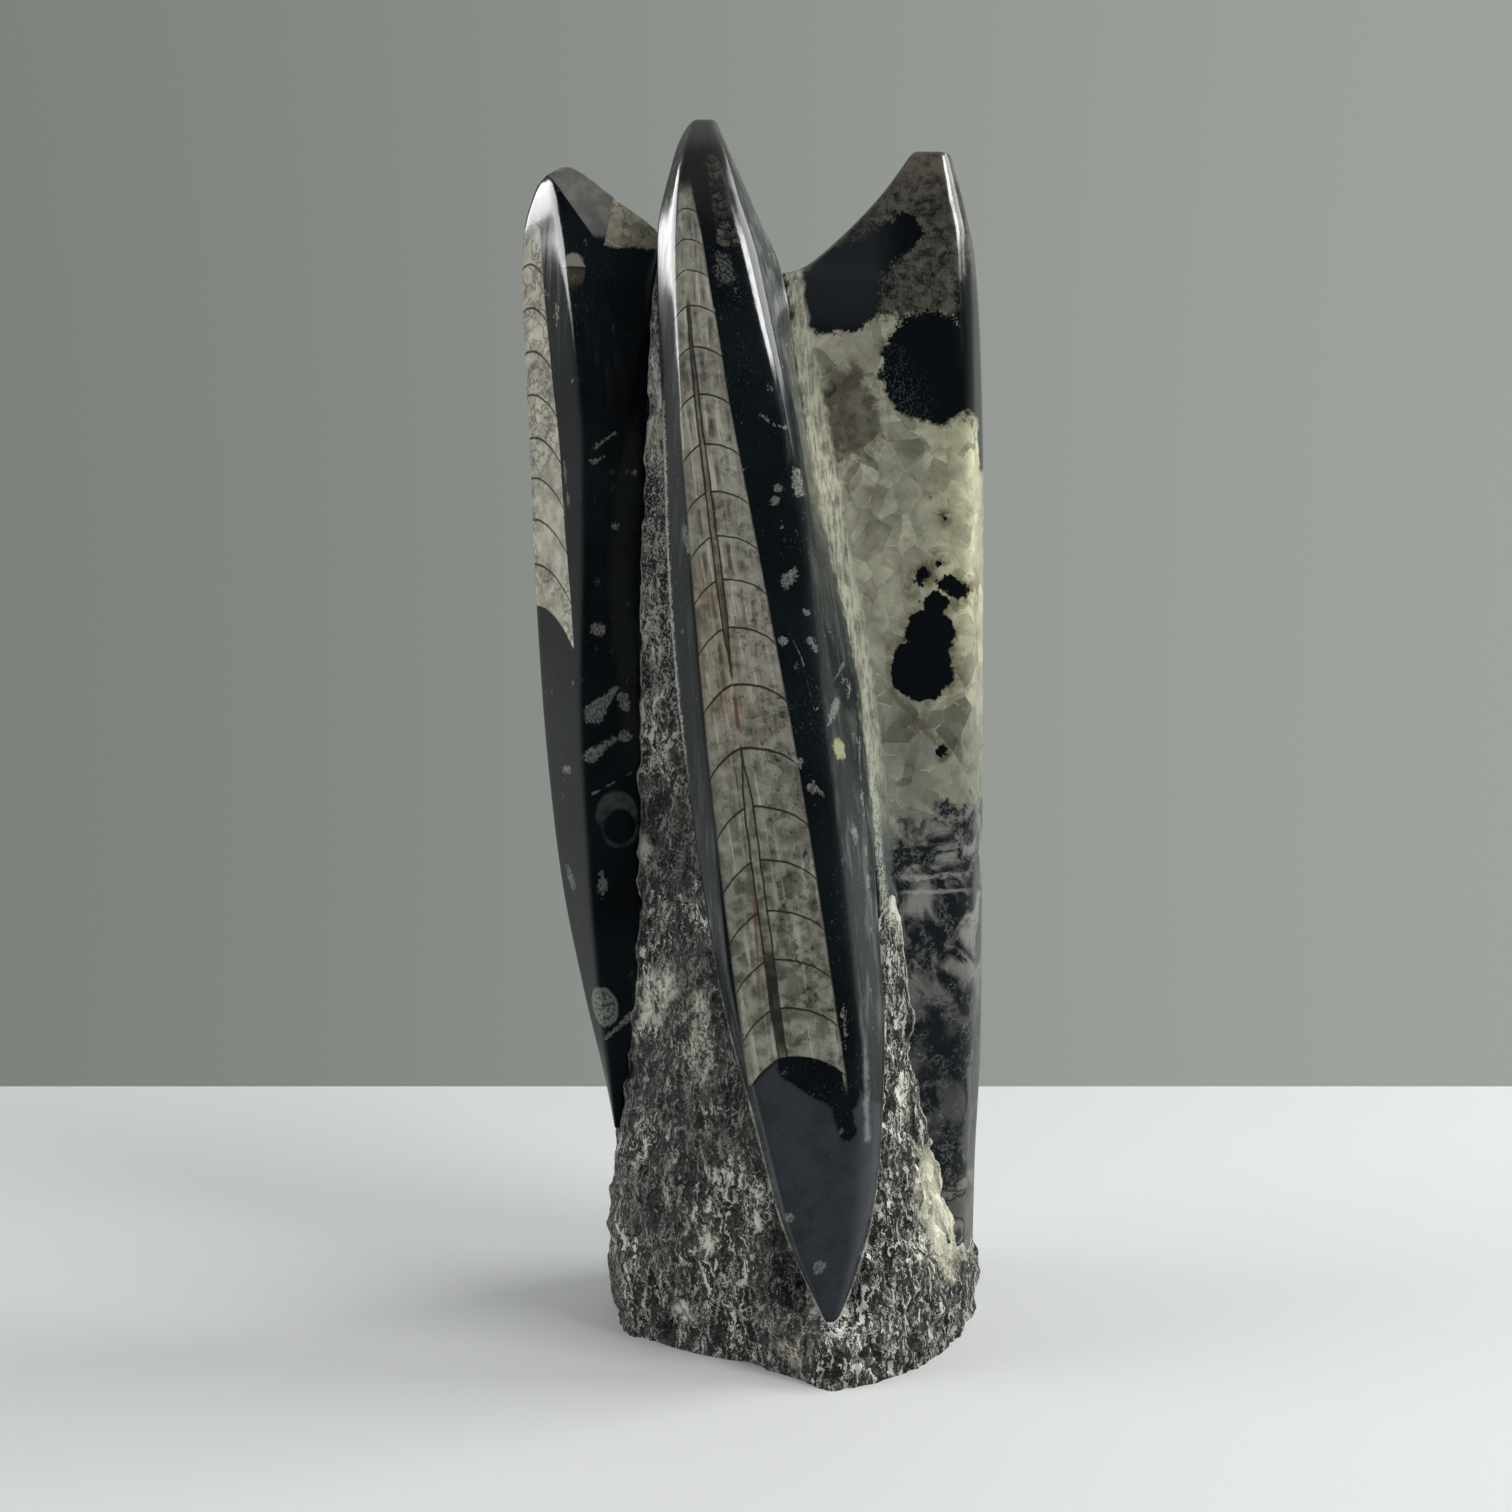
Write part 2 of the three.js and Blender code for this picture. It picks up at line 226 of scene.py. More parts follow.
def along_rail(rows, column, heights):
    """One coordinate of a rail at each height, on a smooth curve that never passes its own points."""
    knots = np.array([row[0] for row in rows], float)
    values = np.array([row[column] for row in rows], float)
    rise = np.diff(knots)
    slope = np.diff(values) / rise
    mean = (slope[:-1] * rise[1:] + slope[1:] * rise[:-1]) / (rise[:-1] + rise[1:])
    least = np.minimum(np.abs(mean), 2 * np.minimum(np.abs(slope[:-1]), np.abs(slope[1:])))
    inner = np.where(slope[:-1] * slope[1:] > 0, np.sign(mean) * least, 0.0)
    tangent = np.concatenate(([slope[0]], inner, [slope[-1]]))
    z = np.clip(heights, knots[0], knots[-1])
    i = np.clip(np.searchsorted(knots, z, side="right") - 1, 0, len(rise) - 1)
    t = (z - knots[i]) / rise[i]
    ease = t * t * (3 - 2 * t)
    bend = rise[i] * t * (1 - t)
    return values[i] + (values[i + 1] - values[i]) * ease + bend * ((1 - t) * tangent[i] - t * tangent[i + 1])


def section_rings(rails, heights, spacing):
    """The loft's outlines, as an array of (height, point, xy). Corners become arcs, and every long side has
    the same number of points at each height, so that rings join point to point."""
    corners = [np.stack([along_rail(path, 1, heights), along_rail(path, 2, heights)], 1) for _, path in rails]
    corners = np.stack(corners, 1)
    to_previous = np.roll(corners, 1, 1) - corners
    to_next = np.roll(corners, -1, 1) - corners
    length_previous = np.linalg.norm(to_previous, axis=2)
    length_next = np.linalg.norm(to_next, axis=2)
    radius = np.array([r for r, _ in rails])
    reach = np.minimum(radius, 0.45 * np.minimum(length_previous, length_next))[:, :, None]
    start = corners + to_previous / np.maximum(length_previous, 1e-6)[:, :, None] * reach
    end = corners + to_next / np.maximum(length_next, 1e-6)[:, :, None] * reach
    points = []
    for k in range(len(rails)):
        for t in np.linspace(0, 1, CORNER_POINTS):
            points.append((1 - t) ** 2 * start[:, k] + 2 * t * (1 - t) * corners[:, k] + t * t * end[:, k])
        following = start[:, (k + 1) % len(rails)]
        longest = np.linalg.norm(following - end[:, k], axis=1).max()
        steps = max(1, round(longest / spacing))
        for step in range(1, steps):
            points.append(end[:, k] + (following - end[:, k]) * step / steps)
    return np.stack(points, 1)


def loft_mesh(name, rings, heights):
    """A closed mesh object, in metres, through the rings, with a flat fan at each end."""
    levels, count = rings.shape[:2]
    points = np.concatenate([rings, np.repeat(heights[:, None, None], count, 1)], 2).reshape(-1, 3)
    ends = [np.append(rings[0].mean(0), heights[0]), np.append(rings[-1].mean(0), heights[-1])]
    points = np.vstack([points, ends])
    i = np.arange(count)
    following = (i + 1) % count
    faces = []
    for level in range(levels - 1):
        a = level * count
        faces += np.stack([a + i, a + following, a + count + following, a + count + i], 1).tolist()
    bottom, top = levels * count, levels * count + 1
    last = (levels - 1) * count
    faces += np.stack([following, i, np.full(count, bottom)], 1).tolist()
    faces += np.stack([last + i, last + following, np.full(count, top)], 1).tolist()
    return add_mesh(name, (points * MM).tolist(), faces)


def add_mesh(name, points, faces):
    """A mesh object of these points, in metres, and faces."""
    mesh = bpy.data.meshes.new(name)
    mesh.from_pydata(points, [], faces)
    mesh.update()
    piece = bpy.data.objects.new(name, mesh)
    bpy.context.scene.collection.objects.link(piece)
    return piece


SLOTS = SPEAR_SLOT, LEFT_SLOT, RIGHT_SLOT, ROUGH_SLOT = range(4)


def dress(piece, index):
    """Give a closed part of the stone a place for all four finishes, and all its faces one of them."""
    for _ in SLOTS:
        piece.data.materials.append(None)
    piece.data.polygons.foreach_set("material_index", [index] * len(piece.data.polygons))
    return piece


def polished_spire(name, rails, slot):
    """A spire: smooth faces that waver a little, as hand polishing leaves them, and an eased tip."""
    low = rails[0][1][0][0]
    high = rails[0][1][-1][0]
    heights = np.arange(low, high - TIP_EASE[0][0], SPIRE_STEP)
    heights = np.append(heights, [high - down for down, _ in TIP_EASE])
    rings = section_rings(rails, heights, SPIRE_SPACING)
    for ring, (_, inset) in zip(rings[-len(TIP_EASE):], TIP_EASE):
        out = ring - ring.mean(0)
        ring -= out / np.maximum(np.linalg.norm(out, axis=1), 1e-6)[:, None] * inset
    piece = loft_mesh(name, rings, heights)
    for vertex in piece.data.vertices:
        place = vertex.co / MM
        vertex.co.y += sum(noise.noise(place * rate) * depth for rate, depth in SWAY) * MM
    return dress(piece, slot)


def flake_depth(x, y, z):
    """How far the broken rock falls back from its outline at a place: flakes, chisel marks and grain."""
    place = Vector((x, y, z * 0.6))
    flakes = noise.noise(place * 0.16)
    marks = abs(noise.noise(place * 0.34 + Vector((7, 3, 1)))) - 0.25
    grain = noise.noise(place * 0.85 + Vector((2, 9, 4)))
    return FLAKE_DEPTH * (0.5 * flakes + 1.1 * marks + 0.3 * grain)


def rough_core(name):
    """The unpolished rock: the CAD core's chipped outline, broken further into flakes and grain."""
    foot, neck = np.arange(0, FOOT_HEIGHT, FOOT_STEP), np.arange(FOOT_HEIGHT, CORE_HEIGHT, NECK_STEP)
    heights = np.concatenate([foot, neck, [CORE_HEIGHT]])
    rings = section_rings(CORE, heights, CORE_SPACING)
    out = rings - np.array(CORE_CENTRE)
    out /= np.linalg.norm(out, axis=2)[:, :, None]
    x, y, z = rings[:, :, 0], rings[:, :, 1], heights[:, None] + 0 * rings[:, :, 0]
    wave = np.sin(x * 0.53 + z * 0.31) + np.sin(y * 0.61 - z * 0.47 + 2)
    wave = wave + np.sin((x + y) * 0.37 + z * 0.73 + 4)
    flakes = np.vectorize(flake_depth)(x, y, z)
    calm = np.where(x > CALM_SIDE, np.interp(z, CALM_HEIGHTS, (1.0, CALM_SHARE)), 1.0)
    rings = rings + out * (calm * (CHIP_DEPTH * wave / 3 - flakes) - CHIP_DEPTH)[:, :, None]
    return dress(loft_mesh(name, rings, heights), ROUGH_SLOT)


def join(base, others):
    """One solid out of several closed ones."""
    for other in others:
        union = base.modifiers.new("join", "BOOLEAN")
        union.operation = "UNION"
        union.solver = "MANIFOLD"
        union.object = other
    graph = bpy.context.evaluated_depsgraph_get()
    mesh = bpy.data.meshes.new_from_object(base.evaluated_get(graph), depsgraph=graph)
    base.modifiers.clear()
    base.data = mesh
    for other in others:
        bpy.data.objects.remove(other)
    return base


def smooth(piece):
    """Soft shading that breaks only where two finishes meet, and at sharp arrises. The points on the line
    between polished stone and rough are given back."""
    mesh = piece.data
    mesh.polygons.foreach_set("use_smooth", [True] * len(mesh.polygons))
    mesh.set_sharp_from_angle(angle=math.radians(ARRIS_ANGLE))
    finish_of_edge = {}
    for polygon in mesh.polygons:
        for key in polygon.edge_keys:
            finish_of_edge.setdefault(key, set()).add(polygon.material_index)
    border = set()
    sharp = mesh.attributes["sharp_edge"].data
    for edge in mesh.edges:
        finishes = finish_of_edge[edge.key]
        if len(finishes) == 2:
            sharp[edge.index].value = True
            if ROUGH_SLOT in finishes:
                border.update(edge.vertices)
    weighted = piece.modifiers.new("facet normals", "WEIGHTED_NORMAL")
    weighted.keep_sharp = True
    weighted.weight = FACE_WEIGHT
    return border


def mark_arris(piece, border):
    """Store each point's distance, in mm, from the line where polished stone meets rough."""
    tree = kdtree.KDTree(len(border))
    for index in border:
        tree.insert(piece.data.vertices[index].co, index)
    tree.balance()
    layer = piece.data.attributes.new("arris", "FLOAT", "POINT")
    layer.data.foreach_set("value", [tree.find(v.co)[2] / MM for v in piece.data.vertices])


# ---------------------------------------------------------------- materials


class Value:
    """A number, vector or colour socket of a node tree, which takes plain arithmetic."""

    def __init__(self, graph, socket):
        self.graph = graph
        self.socket = socket

    def __add__(self, other):
        return self.graph.math("ADD", self, other)

    def __sub__(self, other):
        return self.graph.math("SUBTRACT", self, other)

    def __rsub__(self, other):
        return self.graph.math("SUBTRACT", other, self)

    def __mul__(self, other):
        return self.graph.math("MULTIPLY", self, other)

    def __truediv__(self, other):
        return self.graph.math("DIVIDE", self, other)

    __radd__, __rmul__ = __add__, __mul__


class Graph:
    """The node tree of a material or of the world, whose nodes are made from expressions."""

    def __init__(self, owner):
        self.owner = owner
        self.tree = owner.node_tree

    def feed(self, socket, value):
        if isinstance(value, Value):
            self.tree.links.new(value.socket, socket)
        else:
            socket.default_value = value

    def make(self, kind, inputs, output=0, **settings):
        """An output of a new node, whose inputs are given in order, or in a dict by name or number."""
        node = self.tree.nodes.new("ShaderNode" + kind)
        for key, value in settings.items():
            setattr(node, key, value)
        if not isinstance(inputs, dict):
            inputs = dict(enumerate(inputs))
        for key, value in inputs.items():
            self.feed(node.inputs[key], value)
        return Value(self, node.outputs[output])

    def outputs(self, made):
        """The first three outputs of the node that a value comes from."""
        return [Value(self, output) for output in made.socket.node.outputs[:3]]

    def math(self, operation, *numbers):
        return self.make("Math", numbers, operation=operation)

    def low(self, a, b):
        return self.math("MINIMUM", a, b)

    def high(self, a, b):
        return self.math("MAXIMUM", a, b)

    def size(self, a):
        return self.math("ABSOLUTE", a)

    def step(self, value, start, end, low=0.0, high=1.0):
        """Smoothly from low to high as value goes from start to end, which may be the lower of the two."""
        inputs = (value, start, end, low, high)
        return self.make("MapRange", inputs, interpolation_type="SMOOTHSTEP", clamp=True)

    def curve(self, value, points):
        """A smooth curve through a few (input, output) points."""
        (x0, _), (x1, _) = points[0], points[-1]
        y0, y1 = min(y for _, y in points), max(y for _, y in points)
        made = self.make("FloatCurve", {"Value": (value - x0) * (1 / (x1 - x0))})
        mapping = made.socket.node.mapping
        line = mapping.curves[0]
        while len(line.points) < len(points):
            line.points.new(0.5, 0.5)
        for point, (x, y) in zip(line.points, points):
            point.location = ((x - x0) / (x1 - x0), (y - y0) / (y1 - y0))
            point.handle_type = "AUTO_CLAMPED"
        mapping.update()
        return made * (y1 - y0) + y0

    def vector(self, x, y, z):
        return self.make("CombineXYZ", (x, y, z))

    def vectors(self, operation, *vectors):
        """Arithmetic on vectors, which gives a vector, or a number where it is a distance or a product."""
        output = "Value" if operation in ("DISTANCE", "DOT_PRODUCT") else "Vector"
        return self.make("VectorMath", vectors, output, operation=operation)

    def scaled(self, vector, by):
        return self.make("VectorMath", {0: vector, "Scale": by}, operation="SCALE")

    def stretch(self, vector, x, y, z):
        return self.vectors("MULTIPLY", vector, (x, y, z))

    def move(self, vector, by, amount=1.0):
        """The vector shifted by another one, such as three noises, taken from its middle, 0.5."""
        return self.vectors("MULTIPLY_ADD", self.vectors("SUBTRACT", by, (0.5,) * 3), (amount,) * 3, vector)

    def channels(self, colour):
        """A colour's red, green and blue as three numbers."""
        return self.outputs(self.make("SeparateColor", (colour,)))

    def random(self, number):
        """A different number from 0 to 1 for each whole number."""
        return self.make("TexWhiteNoise", {"W": number}, "Value", noise_dimensions="1D")

    def mix(self, share, a, b):
        """Colour a turned into colour b by share."""
        return self.make("Mix", {0: share, 6: shade(a), 7: shade(b)}, 2, data_type="RGBA")

    def blend(self, share, a, b):
        """Number a turned into number b by share."""
        return self.make("Mix", {0: share, 2: a, 3: b}, data_type="FLOAT")

    def scale_colour(self, colour, by):
        inputs = {0: 1.0, 6: shade(colour), 7: self.make("CombineColor", (by, by, by))}
        return self.make("Mix", inputs, 2, data_type="RGBA", blend_type="MULTIPLY")

    def finish(self, colour, roughness, shine=0.5, bump=None, bump_mm=0.0):
        """The surface shader. Plain numbers go on its own sockets."""
        inputs = {"Base Color": colour, "Roughness": roughness, "Specular IOR Level": shine}
        if bump is not None:
            inputs["Normal"] = self.make("Bump", {"Height": bump, "Distance": bump_mm * MM})
        output = self.tree.nodes.new("ShaderNodeOutputMaterial")
        self.feed(output.inputs["Surface"], self.make("BsdfPrincipled", inputs))
        return self.owner


def linear(byte):
    share = byte / 255
    return share / 12.92 if share <= 0.04045 else ((share + 0.055) / 1.055) ** 2.4


def shade(colour):
    """A colour socket as it is, or (red, green, blue) in the 0 to 255 of a paint chart as linear light."""
    if isinstance(colour, Value):
        return colour
    return tuple(linear(c) for c in colour) + (1.0,)


def new_material(name):
    material = bpy.data.materials.new(name)
    material.use_nodes = True
    material.node_tree.nodes.clear()
    return material


# The stone, as a solid texture in millimetres. Colours are (red, green, blue) out of 255.

MATRIX = (8, 13, 16)
MATRIX_TEAL = (17, 25, 28)
MATRIX_GREY = (58, 61, 66)
SHELL = (153, 150, 140)
SHELL_WARM = (154, 137, 112)
SHELL_GREEN = (104, 104, 92)
BONE = (158, 161, 151)
SEPTUM = (44, 36, 30)
CALCITE = (174, 172, 151)
CALCITE_GREY = (142, 141, 126)
CALCITE_YELLOW = (196, 194, 162)
CALCITE_BROWN = (104, 96, 82)
VALLEY = (194, 191, 169)


class Stone(Graph):
    """A material of the block, with the minerals that all four share. Lengths in it are millimetres."""

    def __init__(self, name):
        super().__init__(new_material(name))
        self.place = self.scaled(self.make("TexCoord", (), "Object"), 1 / MM)
        self.x, self.y, self.z = self.outputs(self.make("SeparateXYZ", (self.place,)))
        broad = self.channels(self.noise(0.045, colour=True))
        self.broad_a, self.broad_b, self.broad_c = broad
        self.broad = self.vector(*broad)
        mottle = self.channels(self.noise(0.22, detail=4, rough=0.62, colour=True))
        self.mottle_a, self.mottle_b, self.mottle_c = mottle
        self.mottle = self.vector(*mottle)
        self.grain = self.noise(1.3, detail=3, rough=0.65)
        upright = self.stretch(self.move(self.place, self.mottle, 1.5), 1, 1, 0.6)
        self.dust = self.noise(2.3, upright, rough=0.7)
        self.front = self.step(self.y, 3, -3)
        self.flat = self.stretch(self.place, 1, 0, 1)

    def noise(self, scale, vector=None, detail=2, rough=0.5, distortion=0.0, colour=False):
        inputs = {"Vector": self.place if vector is None else vector, "Scale": scale, "Detail": detail,
                  "Roughness": rough, "Distortion": distortion}
        return self.make("TexNoise", inputs, "Color" if colour else "Fac")

    def cells(self, scale, vector, feature="F1"):
        """A Voronoi pattern's distance and, for F1, the colour and the middle of each cell."""
        return self.outputs(self.make("TexVoronoi", {"Vector": vector, "Scale": scale}, feature=feature))

    def ragged(self, reach=1.0):
        """An uneven margin in mm, to add to a distance."""
        return (self.mottle_a - 0.5) * (6 * reach) + (self.grain - 0.5) * (2.2 * reach)

    def disc(self, x, z, radius):
        """How far outside a disc on the front each place is, in mm; below 0 inside it."""
        return self.vectors("DISTANCE", self.flat, (x, 0, z)) - radius

    def dot(self, x, z):
        """A mix of x and z, by these shares."""
        return self.vectors("DOT_PRODUCT", self.flat, (x, 0, z))

    def ellipse(self, x, z, width, height, tilt=0.0):
        """About how far outside an ellipse on the front each place is, in mm."""
        c, s = math.cos(math.radians(tilt)), math.sin(math.radians(tilt))
        across, up = (c * 2 / width, s * 2 / width), (-s * 2 / height, c * 2 / height)
        local = self.vector(self.dot(*across), self.dot(*up), 0.0)
        middle = (x * across[0] + z * across[1], x * up[0] + z * up[1], 0)
        least = min(width, height) / 2
        return self.math("MULTIPLY_ADD", self.vectors("DISTANCE", local, middle), least, -least)

    def capsule(self, start, end, radius, end_radius=None):
        """About how far outside a round-ended bar on the front each place is, in mm."""
        (x0, z0), (x1, z1) = start, end
        x, z = x1 - x0, z1 - z0
        square = x * x + z * z
        share = self.dot(x / square, z / square) - (x0 * x + z0 * z) / square
        share.socket.node.use_clamp = True
        from_start = self.vectors("SUBTRACT", self.flat, (x0, 0, z0))
        distance = self.vectors("DISTANCE", from_start, self.scaled((x, 0, z), share))
        if end_radius is not None:
            distance = distance - share * (end_radius - radius)
        return distance - radius

    def along_line(self, start, end):
        """Each place on the front as mm past start and mm left of a line, and the line's length."""
        (x0, z0), (x1, z1) = start, end
        length = math.hypot(x1 - x0, z1 - z0)
        c, s = (x1 - x0) / length, (z1 - z0) / length
        return self.dot(c, s) - (x0 * c + z0 * s), self.dot(-s, c) - (z0 * c - x0 * s), length

    def beyond(self, start, end):
        """How far to the right of a line on the front each place is, in mm, going from start to end."""
        return self.along_line(end, start)[1]

    def nearest(self, distances):
        """The least of several distances, each made only once the last one is used up."""
        distances = iter(distances)
        result = next(distances)
        for distance in distances:
            result = self.low(result, distance)
        return result

    def line(self, distance, width, soft=0.25):
        """1 on a line, where distance is near 0."""
        return self.step(self.size(distance), width / 2 + soft, width / 2)

    def threads(self, noise, width, soft):
        """Thin curved threads, where a noise passes its middle."""
        return self.line(noise - 0.5, width, soft)

    def matrix(self):
        """Nearly even black, with drifts of fine pale dust and a few larger flakes of shell."""
        tone = self.mix(self.step(self.broad_a, 0.35, 0.7), MATRIX, MATRIX_TEAL)
        drift = self.step(self.mottle_b * 0.5 + self.broad_c * 0.5, 0.43, 0.6)
        clean = 1.0 - self.step(self.x, -43, -40) * self.step(self.x, -24.5, -26) * 0.75
        speck = self.step(self.dust + drift * 0.1, 0.68, 0.8) * clean
        tone = self.mix(speck * 0.32, tone, (112, 124, 124))
        bent = self.move(self.place, self.mottle, 3)
        distance, seed, _ = self.cells(0.3, self.stretch(bent, 1, 1, 0.6))
        few = self.step(self.channels(seed)[0], 0.7, 0.86) * clean
        flake = self.step(distance + (self.grain - 0.5) * 0.9, 0.17, 0.07) * few
        return self.mix(flake * 0.5, tone, (150, 156, 150))

    def facets(self, scale, vector, contrast):
        """Flat crystal faces, each shaded evenly across in a direction of its own, about 1 on average."""
        _, seed, middle = self.cells(scale, vector)
        seed = self.channels(seed)
        lean = self.move((0, 0, 0), self.vector(*seed))
        across = self.vectors("DOT_PRODUCT", self.vectors("SUBTRACT", vector, middle), lean)
        return seed[0] * contrast + across * (scale * contrast * 1.6) + (1.0 - contrast / 2)

    def calcite(self):
        """Crystals that meet at clean, crooked edges, clouded inside, and yellower toward the outer rim."""
        bent = self.move(self.place, self.broad, 9)
        tone = self.mix(self.step(self.broad_b, 0.36, 0.6), CALCITE_GREY, CALCITE)
        to_rim = self.step(self.x + self.mottle_c * 14, 40, 60)
        tone = self.mix(to_rim * 0.85, tone, CALCITE_YELLOW)
        tone = self.mix(self.step(self.mottle_c, 0.52, 0.72) * 0.45, tone, CALCITE_BROWN)
        tone = self.mix(self.step(self.z, 178, 138) * 0.75, tone, (98, 101, 93))
        slanted = self.stretch(bent, 1, 1, 0.75)
        facet = self.facets(0.09, bent, 0.38) * self.facets(0.2, slanted, 0.38)
        facet = facet * self.facets(0.5, bent, 0.1)
        cloudy = self.step(self.mottle_b, 0.3, 0.7, 0.84, 1.12)
        tone = self.scale_colour(tone, facet * cloudy)
        seam = self.step(self.cells(0.2, slanted, "DISTANCE_TO_EDGE")[0], 0.035, 0.005)
        tone = self.mix(seam * self.step(self.mottle_a, 0.54, 0.62) * 0.35, tone, (214, 214, 196))
        return self.mix(seam * self.step(self.mottle_a, 0.47, 0.38) * 0.4, tone, (84, 80, 70))


def chambers(g, count, height):
    """Each chamber's number, how far up it each place is, from 0 to 1, and how far from a septum, in mm."""
    number = g.math("FLOOR", count)
    share = count - number
    return number, share, g.low(share, 1 - share) * height


# The big shell: its point as (x, z) on the front, in mm, how far it leans, how many mm its point bows to
# the side and over what length, and the height of a chamber, in mm, that its septa are drawn for.
SHELL_POINT = (-19.6, 278)
SHELL_LEAN = math.radians(7.86)
SHELL_BOW, SHELL_BOWED = 3, 65
SHELL_CHAMBER = 10.8

# As (mm from the point, value): half its width, the number of septa passed, half the siphuncle's width, and
# how far the siphuncle is filled with dark rock. DOME is how a septum falls from the siphuncle to each wall.
SHELL_WIDTH = [(-5, 0.8), (7.5, 1.9), (19, 3.4), (31, 4.3), (42, 5.2), (54, 5.7), (77, 6.95), (103, 8.3),
               (150, 10.3), (220, 11.2)]
SHELL_COUNT = [(10.1, 0), (33.4, 3), (76.6, 7), (107.6, 10), (148, 13), (204.6, 18), (227.2, 20)]
SIPHUNCLE = [(30, 0.15), (50, 0.42), (76, 0.58), (98, 0.68), (110, 0.45), (119, 0.02), (133, 0.02),
             (141, 0.45), (152, 1), (184, 1.05), (205, 0.9)]
FILLING = [(30, 1), (44, 0.9), (54, 0.5), (76, 0.35), (96, 0.45), (108, 0.85), (119, 1), (134, 1),
           (141, 0.2), (160, 0.12), (178, 0.3), (188, 1), (199, 1), (205, 0.2)]
DOME = [(-1.1, 1.16), (-0.8, 0.65), (-0.47, 0.29), (-0.1, 0.03), (0, 0), (0.4, 0.14), (0.7, 0.4), (0.9, 0.7),
        (1.1, 1.2)]


def main_shell(g):
    """The big orthocone on the spear: a straight, chambered shell cut along its middle, point up."""
    across, up = g.x - SHELL_POINT[0], g.z - SHELL_POINT[1]
    s = across * math.sin(SHELL_LEAN) - up * math.cos(SHELL_LEAN)
    bend = g.high(1 - s * (1 / SHELL_BOWED), 0)
    u = across * math.cos(SHELL_LEAN) + up * math.sin(SHELL_LEAN) - bend * bend * SHELL_BOW
    half = g.curve(s, SHELL_WIDTH)
    tube = -0.2 * half - 0.25

    # Each septum is a dome that is highest at the siphuncle and falls to both walls.
    side = u - tube
    share = g.blend(g.step(side, -0.01, 0.01), side / (half + tube), side / (half - tube))
    level = s - half * g.curve(share, DOME) * 0.62 + (g.mottle_c - 0.5) * 0.8
    chamber, share_up, to_septum = chambers(g, g.curve(level, SHELL_COUNT), SHELL_CHAMBER)
    whole = g.step(g.size(u) - half, 0.12, -0.12) * g.step(level, 204.7, 204.3) * g.step(s, 2, 8)

    # Colour: pale high up, warm on the left two thirds of the way down, grey-green and mottled low down.
    tone = g.mix(g.step(g.broad_c, 0.3, 0.7), SHELL, (136, 132, 120))
    warm = g.step(s, 86, 100) * g.step(s, 138, 122) * g.step(u, 3, -3, 0.1, 0.6)
    tone = g.mix(warm, tone, SHELL_WARM)
    tone = g.mix(g.step(s, 128, 165) * g.step(g.mottle_b, 0.4, 0.6, 0.25, 0.85), tone, SHELL_GREEN)
    tone = g.scale_colour(tone, 0.86 + g.random(chamber) * 0.24)

    # Smoky streaks run up each chamber, beside the siphuncle; they fade before the next septum.
    fibres = g.noise(1, g.vector(u * 0.8, g.y * 0.2, s * 0.045 + chamber * 7), detail=3, rough=0.6)
    streak = g.step(fibres, 0.48, 0.66) * g.step(s, 150, 100, 0.45, 1)
    streak = streak * g.step(share_up, 0.02, 0.25) * g.step(share_up, 0.98, 0.8, 0.35, 1)
    tone = g.mix(streak * 0.7, tone, (60, 54, 48))
    beside = g.size(side + (g.mottle_b - 0.5) * 1.4) - half * 0.38
    smoke = g.line(beside, 0.4, 0.6) * g.step(s, 22, 34) * g.step(s, 112, 92)
    smoke = smoke * g.step(share_up, 0.03, 0.3) * g.step(share_up, 0.97, 0.75)
    tone = g.mix(smoke * 0.6, tone, (58, 52, 46))
    lines = g.line(side + 1.9 + (g.mottle_a - 0.5), 0.12, 0.14)
    lines = g.high(lines, g.line(side + 3.1 + (g.mottle_c - 0.5), 0.1, 0.14))
    tone = g.mix(lines * g.step(s, 88, 104) * g.step(s, 165, 140) * 0.6, tone, (66, 52, 42))
    tone = g.mix(g.step(fibres, 0.45, 0.34) * 0.52, tone, (212, 208, 194))

    # Dark dendrites and crumbs, mostly right of the siphuncle and in the lower chambers.
    bent = g.move(g.place, g.mottle, 3)
    blots = g.noise(0.5, bent, detail=5, rough=0.68)
    where = g.step(u, -4, 4, 0.45, 1) * g.step(s, 40, 150, 0.5, 1) * g.step(g.mottle_a, 0.4, 0.55, 0.3, 1)
    smudge = g.step(g.mottle_a * 0.6 + g.broad_b * 0.4, 0.44, 0.58) * g.step(s, 60, 150, 0.2, 0.5)
    tone = g.mix(smudge, tone, (64, 62, 55))
    tone = g.mix(g.step(blots, 0.56, 0.58) * where * 0.75, tone, (34, 33, 31))
    strokes = g.noise(0.34, bent)
    cracks = g.threads(strokes, 0.012, 0.014) * g.step(blots, 0.44, 0.52) * where
    tone = g.mix(cracks * 0.85, tone, (36, 34, 31))
    tone = g.mix(g.step(strokes, 0.6, 0.34) * g.step(g.grain, 0.3, 0.5, 0.2, 0.44), tone, (182, 181, 165))
    tone = g.mix(g.step(g.dust, 0.6, 0.74) * where * 0.5, tone, (56, 52, 48))

    # The siphuncle: a spike of two dark lines high up, and a wider tube below it.
    off = g.size(side + (g.mottle_b - 0.5) * 0.7) - g.curve(s, SIPHUNCLE)
    present = g.step(s, 30, 34) * g.high(g.step(s, 120, 118), g.step(s, 133, 135))
    inner = g.step(off, 0.12, -0.1) * g.curve(s, FILLING)
    tone = g.mix(g.high(inner, g.line(off, 0.3, 0.18)) * present * 0.88, tone, (34, 28, 24))
    rust = g.line(side, 0.55, 0.3) * g.step(s, 121, 124) * g.step(s, 131, 129)
    rust_low = g.line(side + 2.4 + (s - 180) * 0.09, 0.3, 0.35) * g.step(s, 165, 170) * g.step(s, 190, 184)
    tone = g.mix(g.high(rust, rust_low * 0.7) * 0.8, tone, (104, 56, 38))

